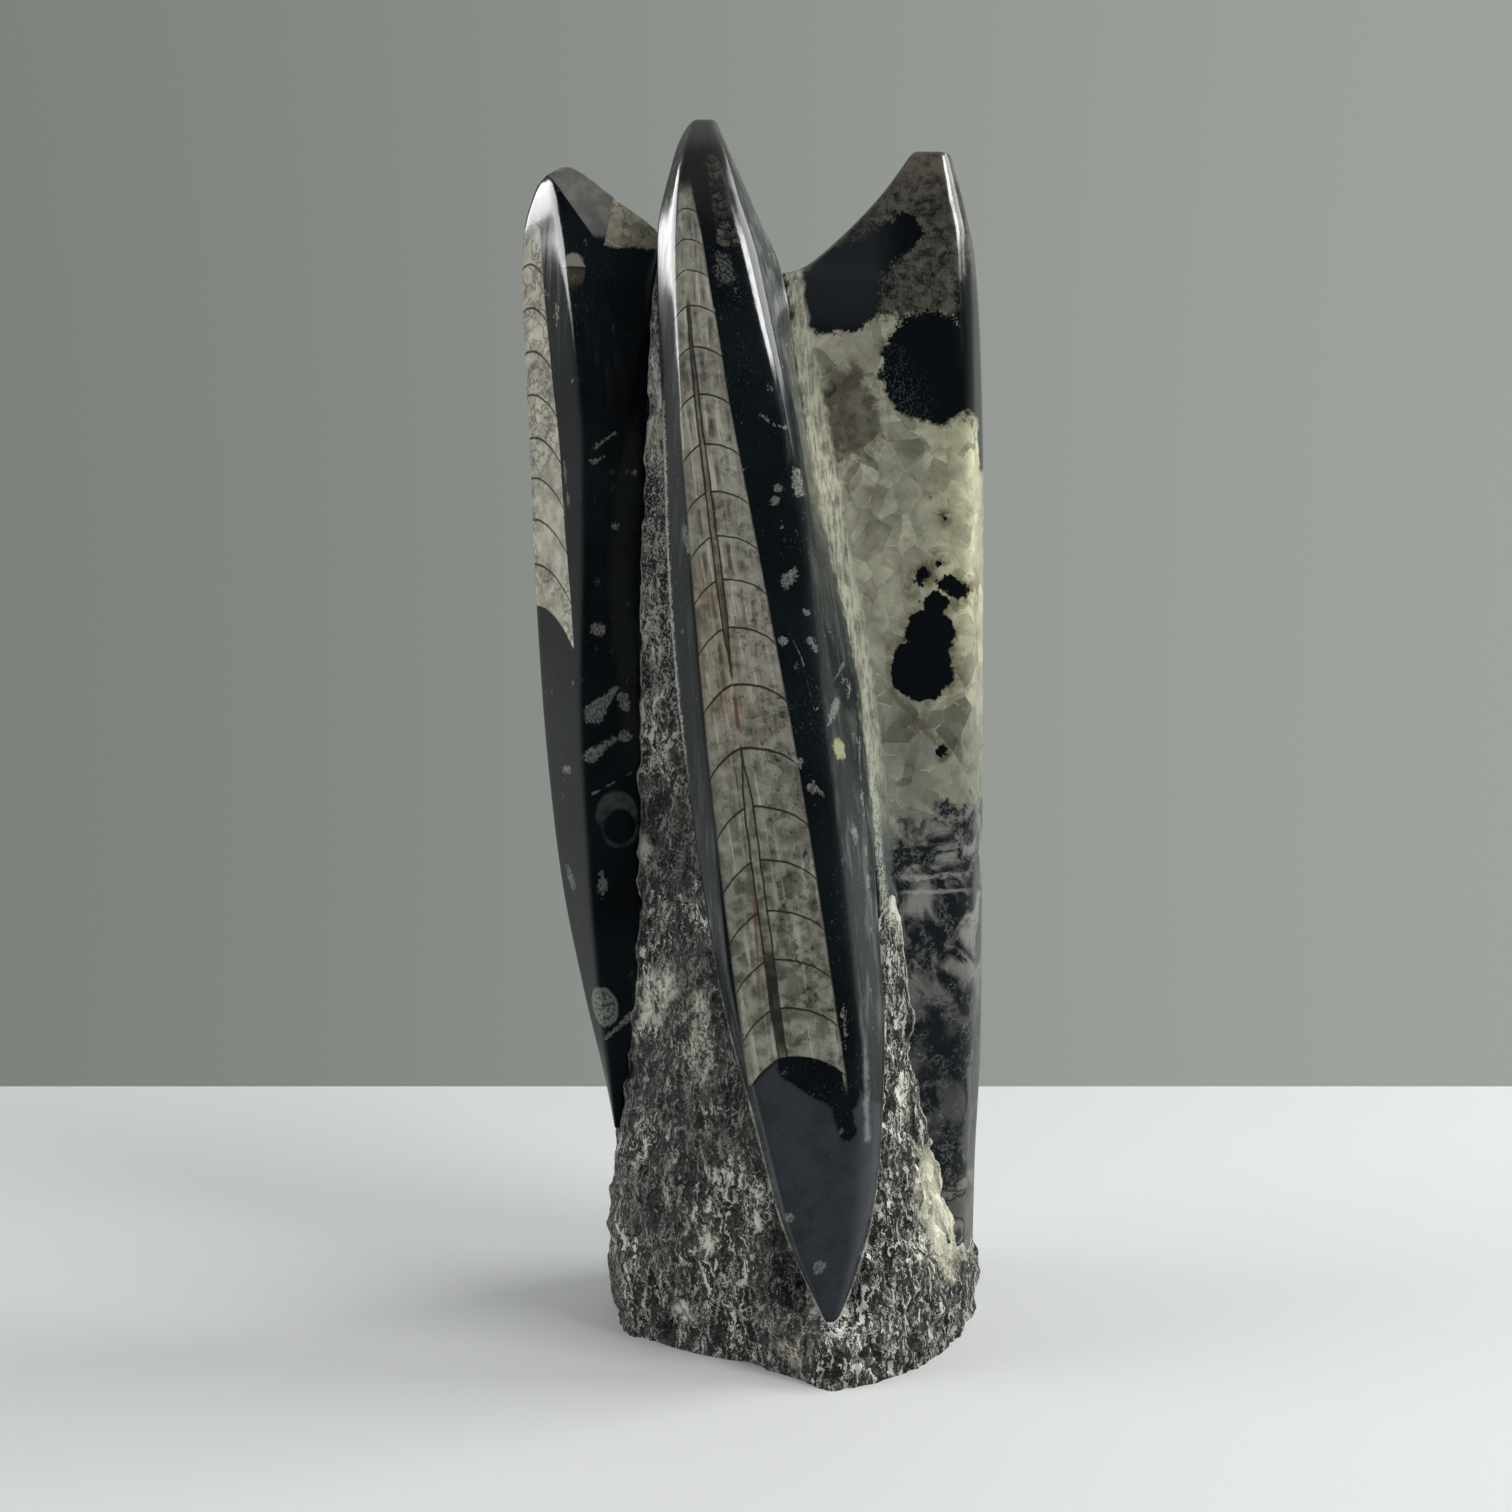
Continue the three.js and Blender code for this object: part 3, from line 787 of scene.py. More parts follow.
    septa = g.line(to_septum, 0.28, 0.2) * g.step(s, 4, 10) * g.step(off, -0.05, 0.05)
    rim = g.line(g.size(u) - half, 0.2, 0.3) * 0.6
    tone = g.mix(g.high(septa * 0.92, rim), tone, SEPTUM)
    tail = g.step(g.size(u - half + 0.35), 0.5, 0.3) * g.step(s, 216, 210)
    return g.high(whole, tail * g.step(s, 200, 202)) * g.front, tone, level


def small_cone(g, start, end, narrow, wide, spacing, seed, sides, spine=0.8):
    """A narrow orthocone in the plane of a face: its mask and its colour. It widens from start to end."""
    along, side, length = g.along_line(start, end)
    half = narrow + along * ((wide - narrow) / length)
    share = side / half
    down = along + half * share * share * 0.6 + (g.mottle_c - 0.5)
    chamber, _, to_septum = chambers(g, down * (1 / spacing), spacing)
    mask = g.step(g.size(side) - half, 0.2, -0.2) * g.step(along, 0, 0.8) * g.step(down, length + 0.4, length)
    tone = g.mix(g.step(g.mottle_b, 0.35, 0.65), SHELL, (122, 118, 108))
    tone = g.scale_colour(tone, 0.85 + g.random(chamber + seed) * 0.3)
    tone = g.mix(g.line(to_septum, 0.3) * 0.85, tone, SEPTUM)
    if spine:
        tone = g.mix(g.line(side + half * 0.25, 0.35, 0.3) * spine, tone, SEPTUM)
    return mask * sides, tone


# The left spire's shell: its point, above the spire, as (x, y, z) in mm, how much its radius and its lean
# grow per mm below the point, and the septa passed, as (mm below the point, number).
LEFT_POINT = (-54, 2.5, 302)
LEFT_WIDENS, LEFT_LEANS = 0.133, 0.004
LEFT_COUNT = [(20, 0), (41, 2), (62, 4), (83, 6), (103, 8), (126, 10), (140, 11)]
LEFT_CHAMBER = 10.5


def left_shell(g):
    """The cone that the left spire's outer edge cuts through: septa are domes round a leaning axis."""
    down = LEFT_POINT[2] - g.z
    radius = down * LEFT_WIDENS
    across = g.x - LEFT_POINT[0] + down * LEFT_LEANS
    back = g.y - LEFT_POINT[1]
    distance = g.math("SQRT", across * across + back * back)
    share = distance / radius
    level = down - radius * share * share * 0.62 + (g.mottle_c - 0.5) * 0.8
    chamber, _, to_septum = chambers(g, g.curve(level, LEFT_COUNT), LEFT_CHAMBER)
    mask = g.step(distance - radius, 0.15, -0.15) * g.step(level, 124.2, 123.8) * g.step(down, 30, 34)
    tone = g.mix(g.step(g.mottle_b, 0.35, 0.65), (220, 215, 198), (172, 167, 152))
    tone = g.scale_colour(tone, 0.88 + g.random(chamber + 40) * 0.24)
    veins = g.threads(g.mottle_a, 0.02, 0.04) * g.step(g.broad_c, 0.4, 0.55)
    tone = g.mix(g.high(veins * 0.6, g.step(g.grain, 0.6, 0.72) * 0.5), tone, (72, 64, 56))
    return mask, g.mix(g.line(to_septum, 0.36) * 0.9, tone, SEPTUM)


# Shell fragments on the front of the spear and of the left spire: slender ones as (x, z, width, height,
# tilt) in mm and degrees, and round ones as (x, z, radius).
SPEAR_FRAGMENTS = [
    (9.5, 204.7, 2.4, 6.4, 8), (7.7, 182.7, 2.2, 4.8, -30), (22.6, 124.7, 1, 3.4, 5),
    (-15.4, 191, 1.5, 6.6, 12), (19.8, 82, 1, 5.6, 4), (16.9, 78, 1.8, 5, 20),
    (14, 26.4, 2.2, 3.4, -30), (17.6, 152.6, 1.5, 6.4, -22), (21.4, 158, 0.9, 3.4, 5),
]
SPEAR_BITS = [(5, 202.7, 0.7), (4.3, 200, 0.8), (6.1, 168.4, 0.9), (7.4, 38.6, 0.9), (9.6, 141, 1),
              (11.4, 174.5, 0.7)]
LEFT_FRAGMENTS = [
    (-36.7, 111, 1.5, 5, 0), (-45.4, 111.3, 1.4, 5.4, 14), (-46.2, 200, 0.7, 3, 0),
    (-47.5, 246, 0.9, 3.6, 0),
]
LEFT_BITS = [(-33.4, 196, 0.8), (-37.4, 171.5, 1.4), (-31.2, 146.1, 1.4), (-29, 209, 0.6), (-46, 138, 0.7)]

# Splinters of shell that taper, as (start, end, radius at each) in mm.
SPEAR_SPLINTERS = [
    ((1.2, 219.6), (3.6, 217.4), 0.2, 0.2), ((3.6, 217.4), (6.8, 216.6), 0.2, 0.1),
    ((12.2, 168.4), (13.6, 166.4), 0.8, 0.2), ((12.4, 135.6), (15, 134), 0.9, 0.2),
]
LEFT_SPLINTERS = [
    ((-33.6, 157.6), (-38.4, 151.6), 0.4, 2.2), ((-33.8, 145.4), (-39.2, 141.4), 0.4, 1.7),
    ((-32, 155.6), (-31.2, 153), 0.9, 0.9), ((-33.5, 218), (-38, 214.2), 0.15, 0.5),
    ((-36, 212.2), (-38.4, 211), 0.2, 0.5), ((-29.4, 79.2), (-36.2, 73.2), 0.7, 0.4),
]

# Hair-thin veins, as (start, end).
SPEAR_HAIRS = [
    ((10.2, 164.6), (13.2, 152.3)), ((13.2, 152.3), (20.2, 163.2)), ((7.5, 170), (10.2, 164.6)),
    ((23.4, 150), (26, 112)),
]
LEFT_HAIRS = [((-38.8, 132.5), (-29.4, 137.6)), ((-46.6, 218), (-44.6, 200))]

# Dark limestone left in the calcite, as (x, z, width, height, tilt), and round bits as (x, z, radius).
INCLUSIONS = [
    (39.6, 184, 3.6, 5.4, -34), (47.6, 182, 8.6, 4.8, -24), (39.6, 162.2, 15.4, 15, 0),
    (41.6, 170.2, 12, 14, -20), (42.8, 177.4, 6.4, 6, 0), (44.4, 142.8, 3, 2.8, 30),
]
INCLUSION_BITS = [(43.8, 187.4, 1.2), (45.4, 198.2, 0.4)]


def fragments(g, tone, slender, bits, splinters, hairs):
    """Bits of shell and thin veins scattered in the black limestone of a spire's front."""
    ragged = (g.grain - 0.5) * 2.6 + (g.mottle_b - 0.5) * 2.6
    distance = g.nearest(g.ellipse(*fragment) for fragment in slender)
    distance = g.low(distance, g.nearest(g.disc(*bit) for bit in bits))
    distance = g.low(distance, g.nearest(g.capsule(*splinter) for splinter in splinters))
    solid = g.step(distance + ragged, 0.25, -0.15) * g.step(g.dust, 0.4, 0.6, 0.25, 0.85)
    hair = g.nearest(g.capsule(start, end, 0) for start, end in hairs)
    threads = g.line(hair + (g.mottle_b - 0.5) * 2.8, 0.14, 0.2) * g.step(g.mottle_c, 0.4, 0.54, 0, 0.5)
    return g.mix(g.high(solid * 0.8, threads) * g.front, tone, BONE)


def left_fossils(g, tone):
    """Two rounded fossils low on the left spire: a spotted coral, and a faint snail above it."""
    ragged = g.grain - 0.5 + (g.mottle_b - 0.5) * 0.8
    coral = g.ellipse(-36.8, 80.8, 6, 8.8, 10) + ragged
    coral_tone = g.step(coral, 0.4, 0) * g.step(g.grain, 0.42, 0.58, 0.15, 0.75)
    coral_tone = g.high(coral_tone, g.line(coral, 0.4, 0.4) * 0.5)
    snail = g.ellipse(-32.6, 124.5, 8, 9.5, 0)
    arc = g.ellipse(-33.4, 127.5, 9.4, 11, 0)
    crescent = g.step(g.high(arc, -0.4 - snail), 0.4, -0.4) * g.step(g.z, 124, 128)
    faint = g.high(g.line(snail, 0.3, 0.5) * g.step(g.mottle_c, 0.4, 0.56, 0.02, 0.14),
                   crescent * g.step(g.mottle_a, 0.3, 0.6, 0.06, 0.24))
    return g.mix(g.high(coral_tone, faint) * g.front, tone, BONE)


# Heights on the right spire, in mm: where mottled rock lies on the calcite and smoky rock under it, at the
# x that each is measured at, and the two pale streaks in the smoky rock.
MOTTLED_FROM, MOTTLED_AT = 246, 30
SMOKY_BELOW, SMOKY_AT = 124, 34
UPPER_STREAK, LOWER_STREAK = 112.5, 108.6


def right_spire(g):
    """The right spire's front: calcite with limestone left in it, mottled above, smoky below."""
    crystal = g.calcite()
    ragged = g.ragged()
    coarse = g.ragged(1.6)

    # Mottled grey-brown rock above the calcite, browner along the sloping top edge and at the tip.
    crumbs = g.noise(0.34, g.move(g.place, g.mottle, 3), detail=5, rough=0.7)
    crumbled = g.step(crumbs * 0.75 + g.dust * 0.25, 0.38, 0.62)
    mottled = g.mix(crumbled, (28, 29, 29), (94, 91, 80))
    mottled = g.mix(g.step(g.broad_b, 0.54, 0.36) * 0.6, mottled, (28, 29, 31))
    sloping = g.beyond((8, 258.4), (38, 288))
    brown_top = g.high(g.step(sloping, 3.4, 1.2), g.step(g.z, 277, 285))
    mottled = g.mix(brown_top * g.step(crumbs, 0.3, 0.6, 0.25, 0.75), mottled, (108, 98, 89))
    roof = MOTTLED_FROM + (g.x - MOTTLED_AT) * 0.1
    tone = g.mix(g.step(g.z + coarse, roof - 0.8, roof + 0.8), crystal, mottled)

    # Brown, see-through crystals between the spear and the black mass.
    brown = g.step(g.ellipse(21.5, 223, 17, 24, 10) + coarse * 1.4, 1.4, -2.6)
    brown_tone = g.mix(g.threads(crumbs, 0.008, 0.02) * 0.6, (84, 80, 68), (44, 42, 36))
    tone = g.mix(brown * g.step(g.mottle_c, 0.3, 0.6, 0.5, 0.95), tone,
                 g.scale_colour(brown_tone, g.facets(0.2, g.place, 0.6)))

    # Below the calcite: dark, with smoky wisps and a few light streaks.
    wisp = g.noise(0.1, g.move(g.place, g.broad, 16), detail=4, rough=0.58, distortion=0.6)
    smoke = g.step(wisp, 0.47, 0.63) * g.step(g.z, 74, 98, 0.25, 1)
    smoky = g.mix(smoke * 0.9, (28, 31, 35), (140, 141, 134))
    smoky = g.mix(g.step(crumbs, 0.54, 0.66) * g.step(wisp, 0.42, 0.52) * 0.35, smoky, (92, 95, 94))
    smoky = g.mix(g.threads(crumbs, 0.01, 0.03) * g.step(g.mottle_b, 0.45, 0.6) * 0.4, smoky, (150, 152, 146))
    streaks = g.line(g.z - UPPER_STREAK + (g.mottle_a - 0.5) * 4, 0.6, 0.8) * g.step(g.mottle_c, 0.4, 0.55)
    streaks = g.high(streaks, g.line(g.z - LOWER_STREAK + (g.mottle_b - 0.5) * 3, 0.3, 0.6) * 0.8)
    smoky = g.mix(streaks * g.step(g.x, 33, 37) * g.step(g.x, 54, 48) * 0.6, smoky, (172, 174, 164))
    swirl = g.ellipse(50, 27, 17, 26, -30)
    swirls = g.step(swirl + coarse, 1, -1)
    swirl_tone = g.mix(g.threads(wisp, 0.02, 0.05), (118, 116, 110), (52, 50, 50))
    smoky = g.mix(swirls * 0.9, smoky, g.scale_colour(swirl_tone, 0.55 + g.step(wisp, 0.36, 0.62) * 0.5))
    slope = SMOKY_BELOW + (g.x - SMOKY_AT) * 0.35 + (g.mottle_a - 0.5) * 34 + (crumbs - 0.5) * 20
    slope = slope + (g.broad_a - 0.5) * 50 * g.step(g.x, 49, 56)
    tone = g.mix(g.step(g.z - slope, 3, -4), tone, smoky)

    # The dark pieces inside it. The largest reaches round the outer edge, and is dusty low on its left.
    upper = g.low(g.ellipse(42.4, 234.6, 25.6, 27, 0), g.ellipse(54, 240, 14, 42, 0))
    upper = g.low(upper, g.ellipse(18.5, 251.5, 25, 19, 12))
    upper = g.low(upper, g.capsule((20, 256), (35.5, 268), 7.4, 4.6))
    lower = g.nearest(g.ellipse(*inclusion) for inclusion in INCLUSIONS)
    lower = g.low(lower, g.nearest(g.disc(*bit) for bit in INCLUSION_BITS))
    splash = ragged + (crumbs - 0.5) * 5.5
    upper = upper + splash * 0.8 + (g.dust - 0.5) * 5 * g.step(g.z, 238, 246)
    upper = upper + (g.broad_c - 0.5) * 30 * g.step(g.x, 49, 56)
    dark = g.high(g.step(upper, 0.6, -0.6), g.step(lower + splash * 0.66, 0.25, -0.25))
    crack = g.capsule((32.4, 157), (44, 143.5), 0.1)
    stain = g.step(crack + splash * 0.5, 0.1, 1.3, 0.6, 0)
    halo = g.step(lower + splash * 0.6, 0.2, 3.4, 0.7, 0)
    tone = g.mix(g.high(stain, halo * g.step(g.mottle_c, 0.42, 0.6)), tone, (88, 74, 54))
    dusty = g.step(g.ellipse(32.5, 227, 12, 24, 24) + coarse, 5, -4) * g.step(g.dust, 0.5, 0.66)
    mass = g.mix(g.step(g.z, 238, 250) * g.step(g.x, 36, 26), MATRIX, (35, 39, 42))
    mass = g.mix(dusty * 0.35, mass, (96, 108, 108))
    return g.mix(dark, tone, mass)


# The spear's right limit on the front and the start of the right spire's flat face, as (z, x).
SPEAR_LIMIT = [(95, 30.5), (120, 28.2), (138, 26.5), (161, 24), (184, 19), (207, 14), (232, 10), (257, 7),
               (275, 4)]
FACE_START = [(95, 33.5), (120, 32.4), (138, 30.6), (161, 27.8), (184, 24), (218, 17.8), (237, 14.2),
              (255, 11.4), (275, 10)]


def spear_front(g, black):
    """The spear's own stone: black, with a grey chamber below the big shell."""
    mask, shell, level = main_shell(g)
    chamber_edge = g.step(level, 203.5, 205)
    soot = g.capsule((9, 73.5), (19.5, 66.5), 4.2)
    soot = g.low(soot, g.capsule((17.5, 70), (20.6, 57.5), 2)) + g.ragged(0.35)
    cone_floor = g.step(level, 204, 206) * g.step(soot, -0.4, 0.5)
    grey = g.mix(g.step(g.mottle_b, 0.4, 0.7), MATRIX_GREY, (48, 54, 58))
    grey = g.mix(g.step(g.dust, 0.62, 0.74) * 0.35, grey, (96, 104, 106))
    tone = g.mix(chamber_edge * g.step(g.z, 88, 82) * cone_floor * g.front, black, grey)
    tone = g.mix(mask, tone, shell)
    # A thin pale streak low on the right bevel is a painted highlight.
    bevel_highlight = g.step(g.capsule((24.6, 78), (25.2, 56), 0.2, 0.6) + g.ragged(0.5), 0.7, -0.5)
    tone = g.mix(bevel_highlight * 0.4, tone, (170, 170, 170))

    # A second, broken shell beside the tip: grey crescents, and a paler lower end.
    tip_mask, tip_tone = small_cone(g, (-10.6, 282), (-5.6, 259), 1.4, 3.2, 2.4, 11, g.front, spine=0)
    tip_tone = g.scale_colour(tip_tone, 0.14 + g.step(g.mottle_a, 0.42, 0.6) * 0.3)
    tip_mask = tip_mask * g.step(g.grain * 0.6 + g.mottle_c + g.dust * 0.5, 0.95, 1.15) * (1 - mask)
    tone = g.mix(tip_mask, tone, tip_tone)
    end = g.step(g.ellipse(-6.9, 253, 3.4, 9, 14) + g.ragged(1.2), -0.8, 0.8, 0.7, 0)
    tone = g.mix(end * g.step(g.dust, 0.4, 0.6) * g.front * (1 - mask), tone, (112, 114, 108))

    # Both bevels are greener than the flat face, with pale streaks along them that are partly painted
    # reflection; above z 236 they brighten into a painted highlight.
    streaks = g.noise(1, g.stretch(g.place, 0.42, 0.42, 0.05), detail=4, rough=0.6)
    edge, left_arris, right_arris = (g.curve(g.z, [(z, x) for z, x, _ in rail]) for _, rail in SPEAR[:3])
    bevel_streak_and_highlight = g.high(g.step(g.x - right_arris, -0.4, 0.8) * g.step(g.z, 60, 86),
                   g.step(g.x - left_arris, 0.3, -0.3) * 0.7)
    bevel_streak_and_highlight = bevel_streak_and_highlight * g.high(g.step(streaks, 0.48, 0.66, 0.14, 0.5), g.step(g.dust, 0.62, 0.72) * 0.5)
    bevel_streak_and_highlight = bevel_streak_and_highlight * g.front * (1 - mask)
    bevel_streak_and_highlight = bevel_streak_and_highlight * g.step(g.size(g.z - 176), 30, 62, 0.5, 1) * g.step(g.z, 236, 262, 1, 1.6)
    tone = g.mix(bevel_streak_and_highlight, tone, (122, 130, 125))
    tone = g.mix(g.step(g.z + g.ragged(1.5), 258, 276) * 0.55 * (1 - mask), tone, (54, 52, 49))
    tone = g.mix(g.step(g.z + g.ragged(0.6), 281, 290) * 0.45, tone, (116, 119, 116))

    # The left edge is chipped white where the saw left it thin.
    chips = g.step(g.x - edge + (g.grain - 0.5) * 2, 0.9, 0.5) * g.step(g.y, -13, -16)
    chips = chips * g.step(g.z, 132, 150) * g.step(g.z, 228, 216) * g.step(g.dust, 0.36, 0.5)
    return g.mix(chips * 0.8, tone, (196, 200, 190))


def left_top(g, tone):
    """The left spire's shoulder: a grey crystal facet, calcite beside it, and a domed shell below."""
    edge = g.beyond((-36.1, 264.6), (-34.4, 275.7)) + (g.grain - 0.5) * 0.8
    slant = g.beyond((-39.2, 266), (-44.8, 274))
    grey = g.step(edge, 0.1, -0.1) * g.step(slant, -0.2, 0.2) * g.step(g.z, 264.6, 266.4)
    grey_tone = g.mix(g.step(g.mottle_b, 0.35, 0.65), (112, 110, 108), (136, 133, 128))
    tone = g.mix(grey * g.front * 0.85, tone, grey_tone)
    patch = g.step(edge, -0.1, 0.2) * g.step(g.z + g.ragged(0.5), 262.6, 263.4)
    bent = g.move(g.place, g.mottle, 4)
    veined = g.facets(0.34, bent, 0.3) * (1 - g.threads(g.noise(0.3, bent), 0.012, 0.025) * 0.5)
    pale = g.scale_colour((166, 160, 142), veined * g.step(g.mottle_b, 0.3, 0.7, 0.72, 1.15))
    tone = g.mix(patch, tone, pale)
    dome = g.ellipse(-43.4, 256.6, 5.6, 9, 0) + (g.grain - 0.5) * 1.2
    body = g.step(dome, 0.2, -0.3) * g.front
    head = g.step(g.z, 257.2, 257.7)
    shell = g.mix(head, g.scale_colour((96, 86, 74), g.step(g.mottle_b, 0.3, 0.7, 0.5, 1.1)), (150, 147, 136))
    shell = g.mix(g.line(g.z - 257.4, 0.3, 0.3) * 0.8, shell, SEPTUM)
    return g.mix(body * g.high(head, g.step(g.z, 251, 256, 0.15, 0.8)) * 0.85, tone, shell)


def back_shell(g, tone, start, end, narrow, wide, spacing, seed):
    """A shell on the back, which leans the other way."""
    mask, shell = small_cone(g, start, end, narrow, wide, spacing, seed, g.step(g.y, 7, 9))
    return g.mix(mask, tone, shell)


def limit_at(g, points):
    """A limit's x at each height, held at its two ends."""
    return g.curve(g.low(g.high(g.z, points[0][0]), points[-1][0]), points)


def valley(g, tone, limit):
    """The pale, streaky, hollowed margin where the right spire leaves the spear."""
    start = limit_at(g, FACE_START)
    streaky = g.noise(1, g.stretch(g.place, 1.3, 1.3, 0.12), detail=4, rough=0.68)
    ragged = (g.mottle_b - 0.5) * 4 + (streaky - 0.5) * 3
    margin = g.step(g.x - start + ragged, 0.7, -0.7) * g.front
    margin = margin * g.step(g.x - limit + ragged, -0.8, 1)
    margin = margin * g.step(g.z + (g.mottle_a - 0.5) * 14, 96, 124)
    pale = g.mix(g.step(g.broad_c, 0.35, 0.6), VALLEY, (172, 172, 152))
    pale = g.scale_colour(pale, g.step(streaky * 0.6 + g.mottle_c * 0.4, 0.38, 0.6, 0.4, 1.26))
    pale = g.mix(g.step(g.z, 150, 112), pale, (84, 92, 90))
    tone = g.mix(margin * 0.92, tone, pale)
    seam = g.step(g.size(g.x - limit - 1 + ragged * 0.5), 1.3, 0.5) * g.step(g.z, 158, 128)
    seam = seam * g.step(g.dust, 0.4, 0.55) * g.front * g.step(g.z, 92, 104)
    return g.mix(seam * 0.75, tone, (184, 190, 174))


def gloss(g, tone, shine=0.42):
    """The hard polish over a spire's colours, with the faint upright waver that polishing leaves."""
    polish = g.noise(1, g.stretch(g.place, 0.9, 0.9, 0.05), rough=0.6)
    roughness = 0.12 + g.step(polish, 0.45, 0.75) * 0.1
    return g.finish(tone, roughness, shine, polish, 0.01)


def spear_stone(name):
    """The middle spire: the big chambered shell in black limestone."""
    g = Stone(name)
    tone = spear_front(g, g.matrix())
    tone = fragments(g, tone, SPEAR_FRAGMENTS, SPEAR_BITS, SPEAR_SPLINTERS, SPEAR_HAIRS)
    yellow = g.ellipse(18.7, 144.2, 3, 4.6, 20) + g.ragged(0.6)
    tone = g.mix(g.step(yellow, 0.2, -0.4) * g.front * 0.8, tone, (166, 166, 128))
    tone = back_shell(g, tone, (-12, 236), (1, 128), 1.8, 8.6, 7.6, 23)
    return gloss(g, valley(g, tone, limit_at(g, SPEAR_LIMIT)))


def left_stone(name):
    """The left spire: black, with a shell cut along its outer edge and scattered bits of others."""
    g = Stone(name)
    tone = fragments(g, g.matrix(), LEFT_FRAGMENTS, LEFT_BITS, LEFT_SPLINTERS, LEFT_HAIRS)
    tone = left_fossils(g, tone)
    cone, cone_tone = left_shell(g)
    tone = left_top(g, g.mix(cone, tone, cone_tone))
    return gloss(g, back_shell(g, tone, (-38, 216), (-41, 128), 1.2, 5.6, 5.2, 57), 0.34)


def right_stone(name):
    """The right spire: pale calcite, which gives way to black limestone on the back beside the spear."""
    g = Stone(name)
    limit = limit_at(g, SPEAR_LIMIT)
    drift = ((g.broad_a - 0.5) * 30 - 8) * (1 - g.front)
    tone = g.mix(g.step(g.x + drift - limit, -0.3, 0.5), g.matrix(), right_spire(g))
    tone = back_shell(g, tone, (38, 70), (31, 150), 1, 5.8, 5.6, 71)
    return gloss(g, valley(g, tone, limit))


# Paler areas of the rough rock, as (x, z, width, height, tilt).
PALE_ROCK = [
    (-24.3, 84, 10, 17, -20), (-12.6, 73.5, 8, 19, 0), (-23.8, 226, 5, 30, 0),
    (-12.6, 83, 5, 9, 0), (34, 107, 7, 18, 0), (-17, 10, 8, 6, 0), (8.5, 7, 7, 8, 0),
    (-26.5, 118, 5, 8, 0), (-11, 29, 6, 5, 0),
]


def rough(name):
    """Broken faces: the same limestone, bruised white by the chisel, with painted highlight on raised ridges,
    painted shade in hollows, and calcite low on the right.
    """
    g = Stone(name)
    bent = g.move(g.stretch(g.place, 1, 1, 0.36), g.mottle, 4)
    ridges = g.noise(0.2, bent, detail=4, rough=0.7)
    curls = g.noise(0.3, bent, rough=0.55, distortion=1.2)
    flecks = g.noise(0.6, bent, rough=0.62)
    pale = g.nearest(g.ellipse(*patch) for patch in PALE_ROCK) + g.ragged(1.3)
    pale = g.step(pale, 1, -1.6) * g.front
    calcite = g.step(g.ellipse(45, 33, 12, 32, 12) + g.ragged(1.2), 0.8, -0.8) * g.front
    crowd = g.step(g.mottle_b * 0.35 + g.broad_b * 0.65, 0.45, 0.57)
    crowd = g.high(crowd, g.step(g.x, 14, 30) * 0.5)
    high_up = g.step(g.z, 130, 185)

    # White bruises crowd together in places, partly painted highlight on the raised ridges; between them are
    # a few hair-thin curls.
    threads = g.threads(ridges, 0.005, 0.012)
    curls = g.threads(curls, 0.035, 0.03) * g.step(flecks, 0.48, 0.56)
    threads = g.high(threads * (0.3 + crowd * 0.5), curls * (0.28 + crowd * 0.56))
    bruise_and_highlight = g.step(ridges * 0.6 + flecks * 0.4 + crowd * 0.05 + pale * 0.03, 0.605, 0.622)
    white = g.high(threads, bruise_and_highlight * (0.42 + crowd * 0.55))
    white = g.high(white, g.step(g.dust * 0.7 + flecks * 0.3, 0.5, 0.58) * high_up * 0.75)
    grit = g.step(g.grain * 0.6 + g.dust * 0.4, 0.54, 0.64) * 0.36
    # Painted shade: the hollows, where the relief is lowest, are darkened almost to black.
    pit_shade = g.step(ridges * 0.55 + g.grain * 0.45, 0.5, 0.44)

    tone = g.mix(g.step(g.broad_c * 0.5 + g.grain * 0.5, 0.4, 0.6), (31, 30, 29), (58, 55, 50))
    tone = g.mix(g.high(grit, crowd * g.step(flecks, 0.48, 0.54) * 0.3), tone, (150, 148, 140))
    tone = g.mix(pale * (0.42 + g.step(flecks, 0.42, 0.52) * 0.45), tone, (208, 202, 184))
    tone = g.mix(pit_shade * 0.85, tone, (8, 8, 8))
    tone = g.mix(calcite, tone, g.scale_colour((196, 194, 172), g.facets(0.4, bent, 1.1)))
    tone = g.mix(white * (1 - calcite * 0.4), tone, (232, 231, 220))

    arris = g.make("Attribute", (), "Fac", attribute_name="arris", attribute_type="GEOMETRY")
    chipped = g.step(arris + (g.grain - 0.5) * 1.4, 0.1, 0.6, 0.9, 0)
    tone = g.mix(chipped * g.step(g.mottle_a, 0.4, 0.54, 0.3, 1), tone, (206, 206, 196))
    height = flecks * 0.8 + ridges * 1.6 + g.grain * 0.2
    return g.finish(tone, 0.76 - white * 0.15, 0.4, height, 1.2)


# ---------------------------------------------------------------- the stone

core = rough_core("fossil_stone")
spires = [
    polished_spire("spear", SPEAR, SPEAR_SLOT),
    polished_spire("left_blade", LEFT_BLADE, LEFT_SLOT),
    polished_spire("right_blade", RIGHT_BLADE, RIGHT_SLOT),
]
stone = join(core, spires)
mark_arris(stone, smooth(stone))
stone.data.materials[SPEAR_SLOT] = spear_stone("spear_limestone")
stone.data.materials[LEFT_SLOT] = left_stone("left_limestone")
stone.data.materials[RIGHT_SLOT] = right_stone("right_limestone")
stone.data.materials[ROUGH_SLOT] = rough("rough_limestone")

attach(stone, "root")
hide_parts("orthoceras_tower")


# ---------------------------------------------------------------- floor, light and camera

# In metres: the floor's edges, where the lights aim and how far off they are, and where the camera is. Its
# angles are in degrees and its lens in mm.
FLOOR_SIDE, FLOOR_FRONT, FLOOR_REAR = 1.0, -0.5, 0.216
LIGHT_TARGET, LIGHT_DISTANCE = (0, 0, 0.2), 1.3
CAMERA_PLACE, CAMERA_LOOKS_DOWN = (0, -0.371, 0.1587), 2.7504
LENS, SENSOR = 35.84, 36


